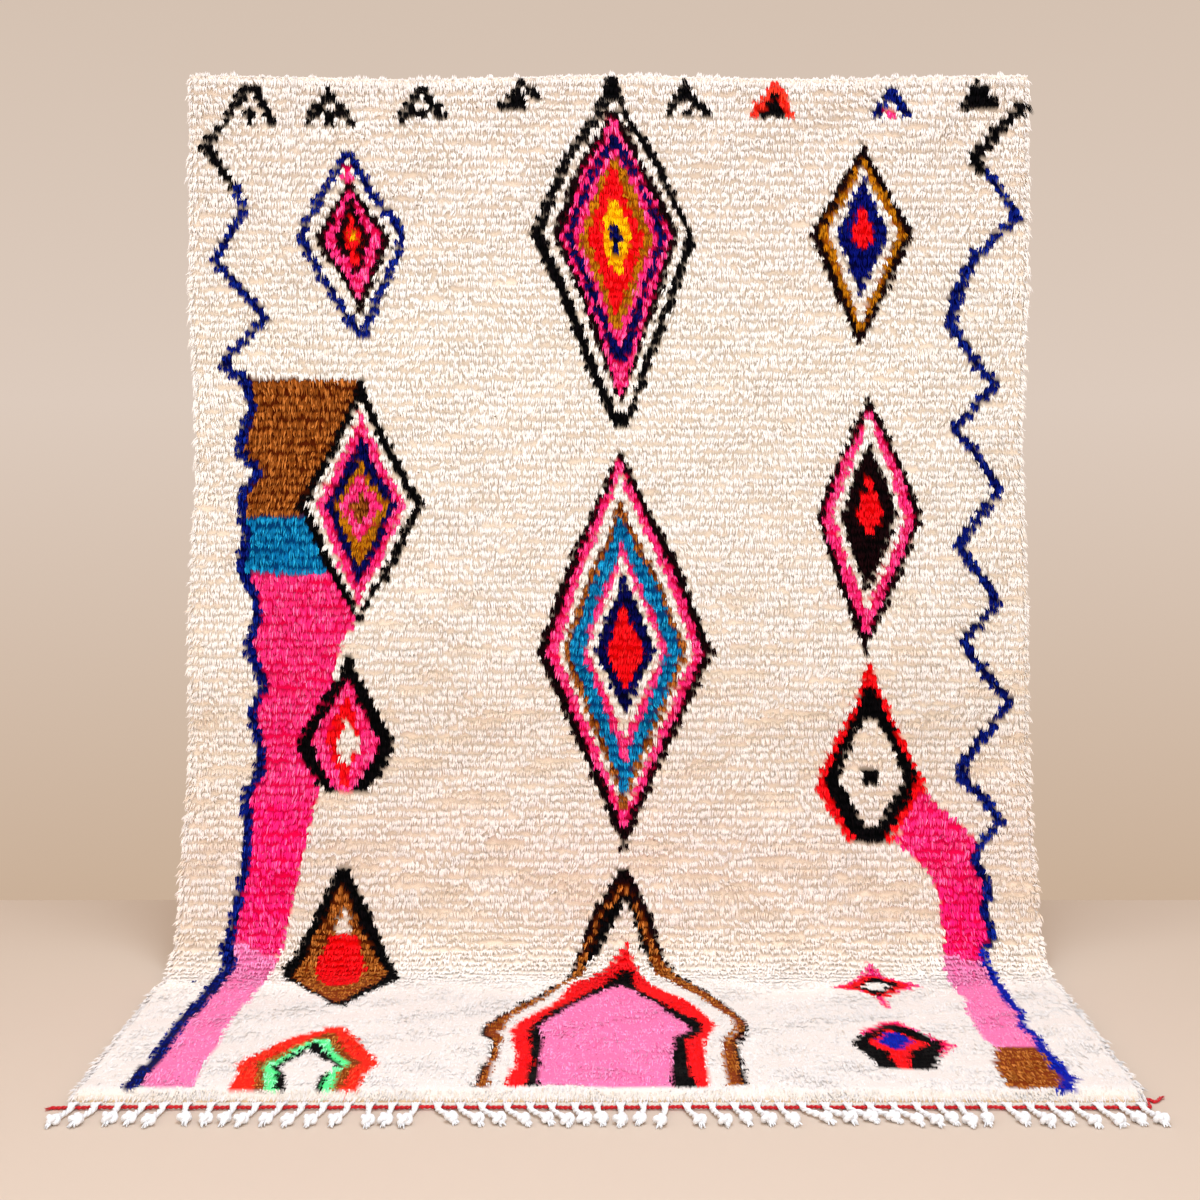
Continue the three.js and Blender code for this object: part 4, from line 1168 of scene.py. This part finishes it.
def make_thread(name, colour, low, high, sheen):
    """Spun thread: one colour with fine fibres lighter and darker, and a fibre bump."""
    material, tree, shader = new_material(name)
    place = object_place(tree)
    base = tree.nodes.new("ShaderNodeMix")
    base.data_type = "RGBA"
    base.inputs["A"].default_value = (*linear(colour[0]), 1.0)
    base.inputs["B"].default_value = (*linear(colour[1]), 1.0)
    share = ranged(tree, noise_node(tree, place, 240, 3), 0.35, 0.7, 0.0, 1.0)
    tree.links.new(share, base.inputs["Factor"])
    fibres = ranged(tree, noise_node(tree, place, 900, 3, 0.6), 0.3, 0.7, low, high)
    coloured(tree, shader, base.outputs["Result"], fibres)
    shader.inputs["Roughness"].default_value = 0.85
    shader.inputs["Specular IOR Level"].default_value = 0.25
    shader.inputs["Sheen Weight"].default_value = sheen
    bumped(tree, shader, noise_node(tree, place, 1300, 3), 0.0008, 0.6)
    return material


def make_floor():
    """A plain pale floor that runs from in front of the rug to the wall line behind it."""
    far = 0.46
    near = -3.6
    wide = 3.4
    z = floor_z - 0.0002
    corners = [(-wide, near, z), (wide, near, z), (wide, far, z), (-wide, far, z)]
    mesh = bpy.data.meshes.new("floor")
    mesh.from_pydata(corners, [], [(0, 1, 2, 3)])
    floor = bpy.data.objects.new("floor", mesh)
    bpy.context.scene.collection.objects.link(floor)
    material, tree, shader = new_material("pale_floor")
    shader.inputs["Base Color"].default_value = (*linear((203, 184, 165)), 1.0)
    shader.inputs["Roughness"].default_value = 0.6
    shader.inputs["Specular IOR Level"].default_value = 0.2
    mesh.materials.append(material)


def add_area(name, place, aim, size, energy, colour):
    """A soft square light that faces a point."""
    data = bpy.data.lights.new(name, "AREA")
    data.shape = "SQUARE"
    data.size = size
    data.energy = energy
    data.color = colour
    lamp = bpy.data.objects.new(name, data)
    lamp.location = place
    lamp.rotation_euler = (Vector(aim) - Vector(place)).to_track_quat("-Z", "Y").to_euler()
    bpy.context.scene.collection.objects.link(lamp)


def make_world():
    """Warm studio surroundings, lightest at eye level and darker and browner low down."""
    world = bpy.data.worlds.new("studio")
    world.use_nodes = True
    tree = world.node_tree
    back = tree.nodes["Background"]
    place = tree.nodes.new("ShaderNodeTexCoord")
    split = tree.nodes.new("ShaderNodeSeparateXYZ")
    ramp = tree.nodes.new("ShaderNodeValToRGB")
    ramp.color_ramp.elements[0].position = 0.0
    ramp.color_ramp.elements[0].color = (*linear((202, 176, 152)), 1.0)
    ramp.color_ramp.elements[1].position = 1.0
    ramp.color_ramp.elements[1].color = (*linear((213, 194, 178)), 1.0)
    middle = ramp.color_ramp.elements.new(0.55)
    middle.color = (*linear((221, 203, 189)), 1.0)
    tree.links.new(place.outputs["Generated"], split.inputs[0])
    lift = tree.nodes.new("ShaderNodeMapRange")
    lift.inputs["From Min"].default_value = -0.25
    lift.inputs["From Max"].default_value = 0.22
    tree.links.new(split.outputs["Z"], lift.inputs["Value"])
    tree.links.new(lift.outputs["Result"], ramp.inputs["Fac"])
    tree.links.new(ramp.outputs["Color"], back.inputs["Color"])
    back.inputs["Strength"].default_value = 1.0
    bpy.context.scene.world = world


# The camera, square to the hanging rug, with the small shift of the photo's framing
camera_data = bpy.data.cameras.new("camera")
camera_data.lens = 54
camera_data.sensor_width = 36
camera_data.shift_x = -0.0071
camera_data.shift_y = -0.1517
camera_data.clip_end = 50
camera = bpy.data.objects.new("camera", camera_data)
camera.location = (0.0, -4.306, -0.804)
camera.rotation_euler = (math.pi / 2, 0.0, 0.0)
bpy.context.scene.collection.objects.link(camera)
bpy.context.scene.camera = camera
bpy.context.scene.view_settings.view_transform = "Standard"

make_world()
add_area("front_light", (0.3, -5.2, 0.0), (0.0, -0.3, -1.0), 4.0, 180, (0.785, 0.885, 1.0))
add_area("top_light", (0.28, -1.5, 2.9), (0.0, -0.9, -2.08), 2.6, 182, (0.69, 0.82, 1.0))
add_area("left_light", (-3.0, -2.6, 0.2), (0.0, -0.3, -1.1), 2.2, 22, (0.93, 0.965, 1.0))
make_floor()

pile_wool = make_pile_wool()
woven_ground = make_woven_ground()
white_cotton = make_thread("white_cotton_thread", ((243, 241, 240), (222, 219, 216)), 0.9, 1.05, 0.2)
red_wool = make_thread("red_wool_yarn", ((214, 14, 26), (168, 6, 16)), 0.85, 1.1, 0.2)

ground = make_ground()
PILE_BANDS = ["pile_top", "pile_upper", "pile_middle", "pile_bend", "pile_floor"]
cuts = np.linspace(0, KNOT_ROWS, len(PILE_BANDS) + 1).round().astype(int)
cuts[0] = -1
pile = [make_pile(name, cuts[n], cuts[n + 1], 31 + n) for n, name in enumerate(PILE_BANDS)]
rim = make_rim("rim_tufts", 47)
fringe = make_fringe()
red_yarn = make_red_yarn()

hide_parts("field")
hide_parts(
    "top_locks",
    "left_locks_hang", "left_locks_slope", "left_locks_bend", "left_locks_floor",
    "right_locks_hang", "right_locks_slope", "right_locks_bend", "right_locks_floor",
)
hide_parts("fringe")
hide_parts("red_cord")
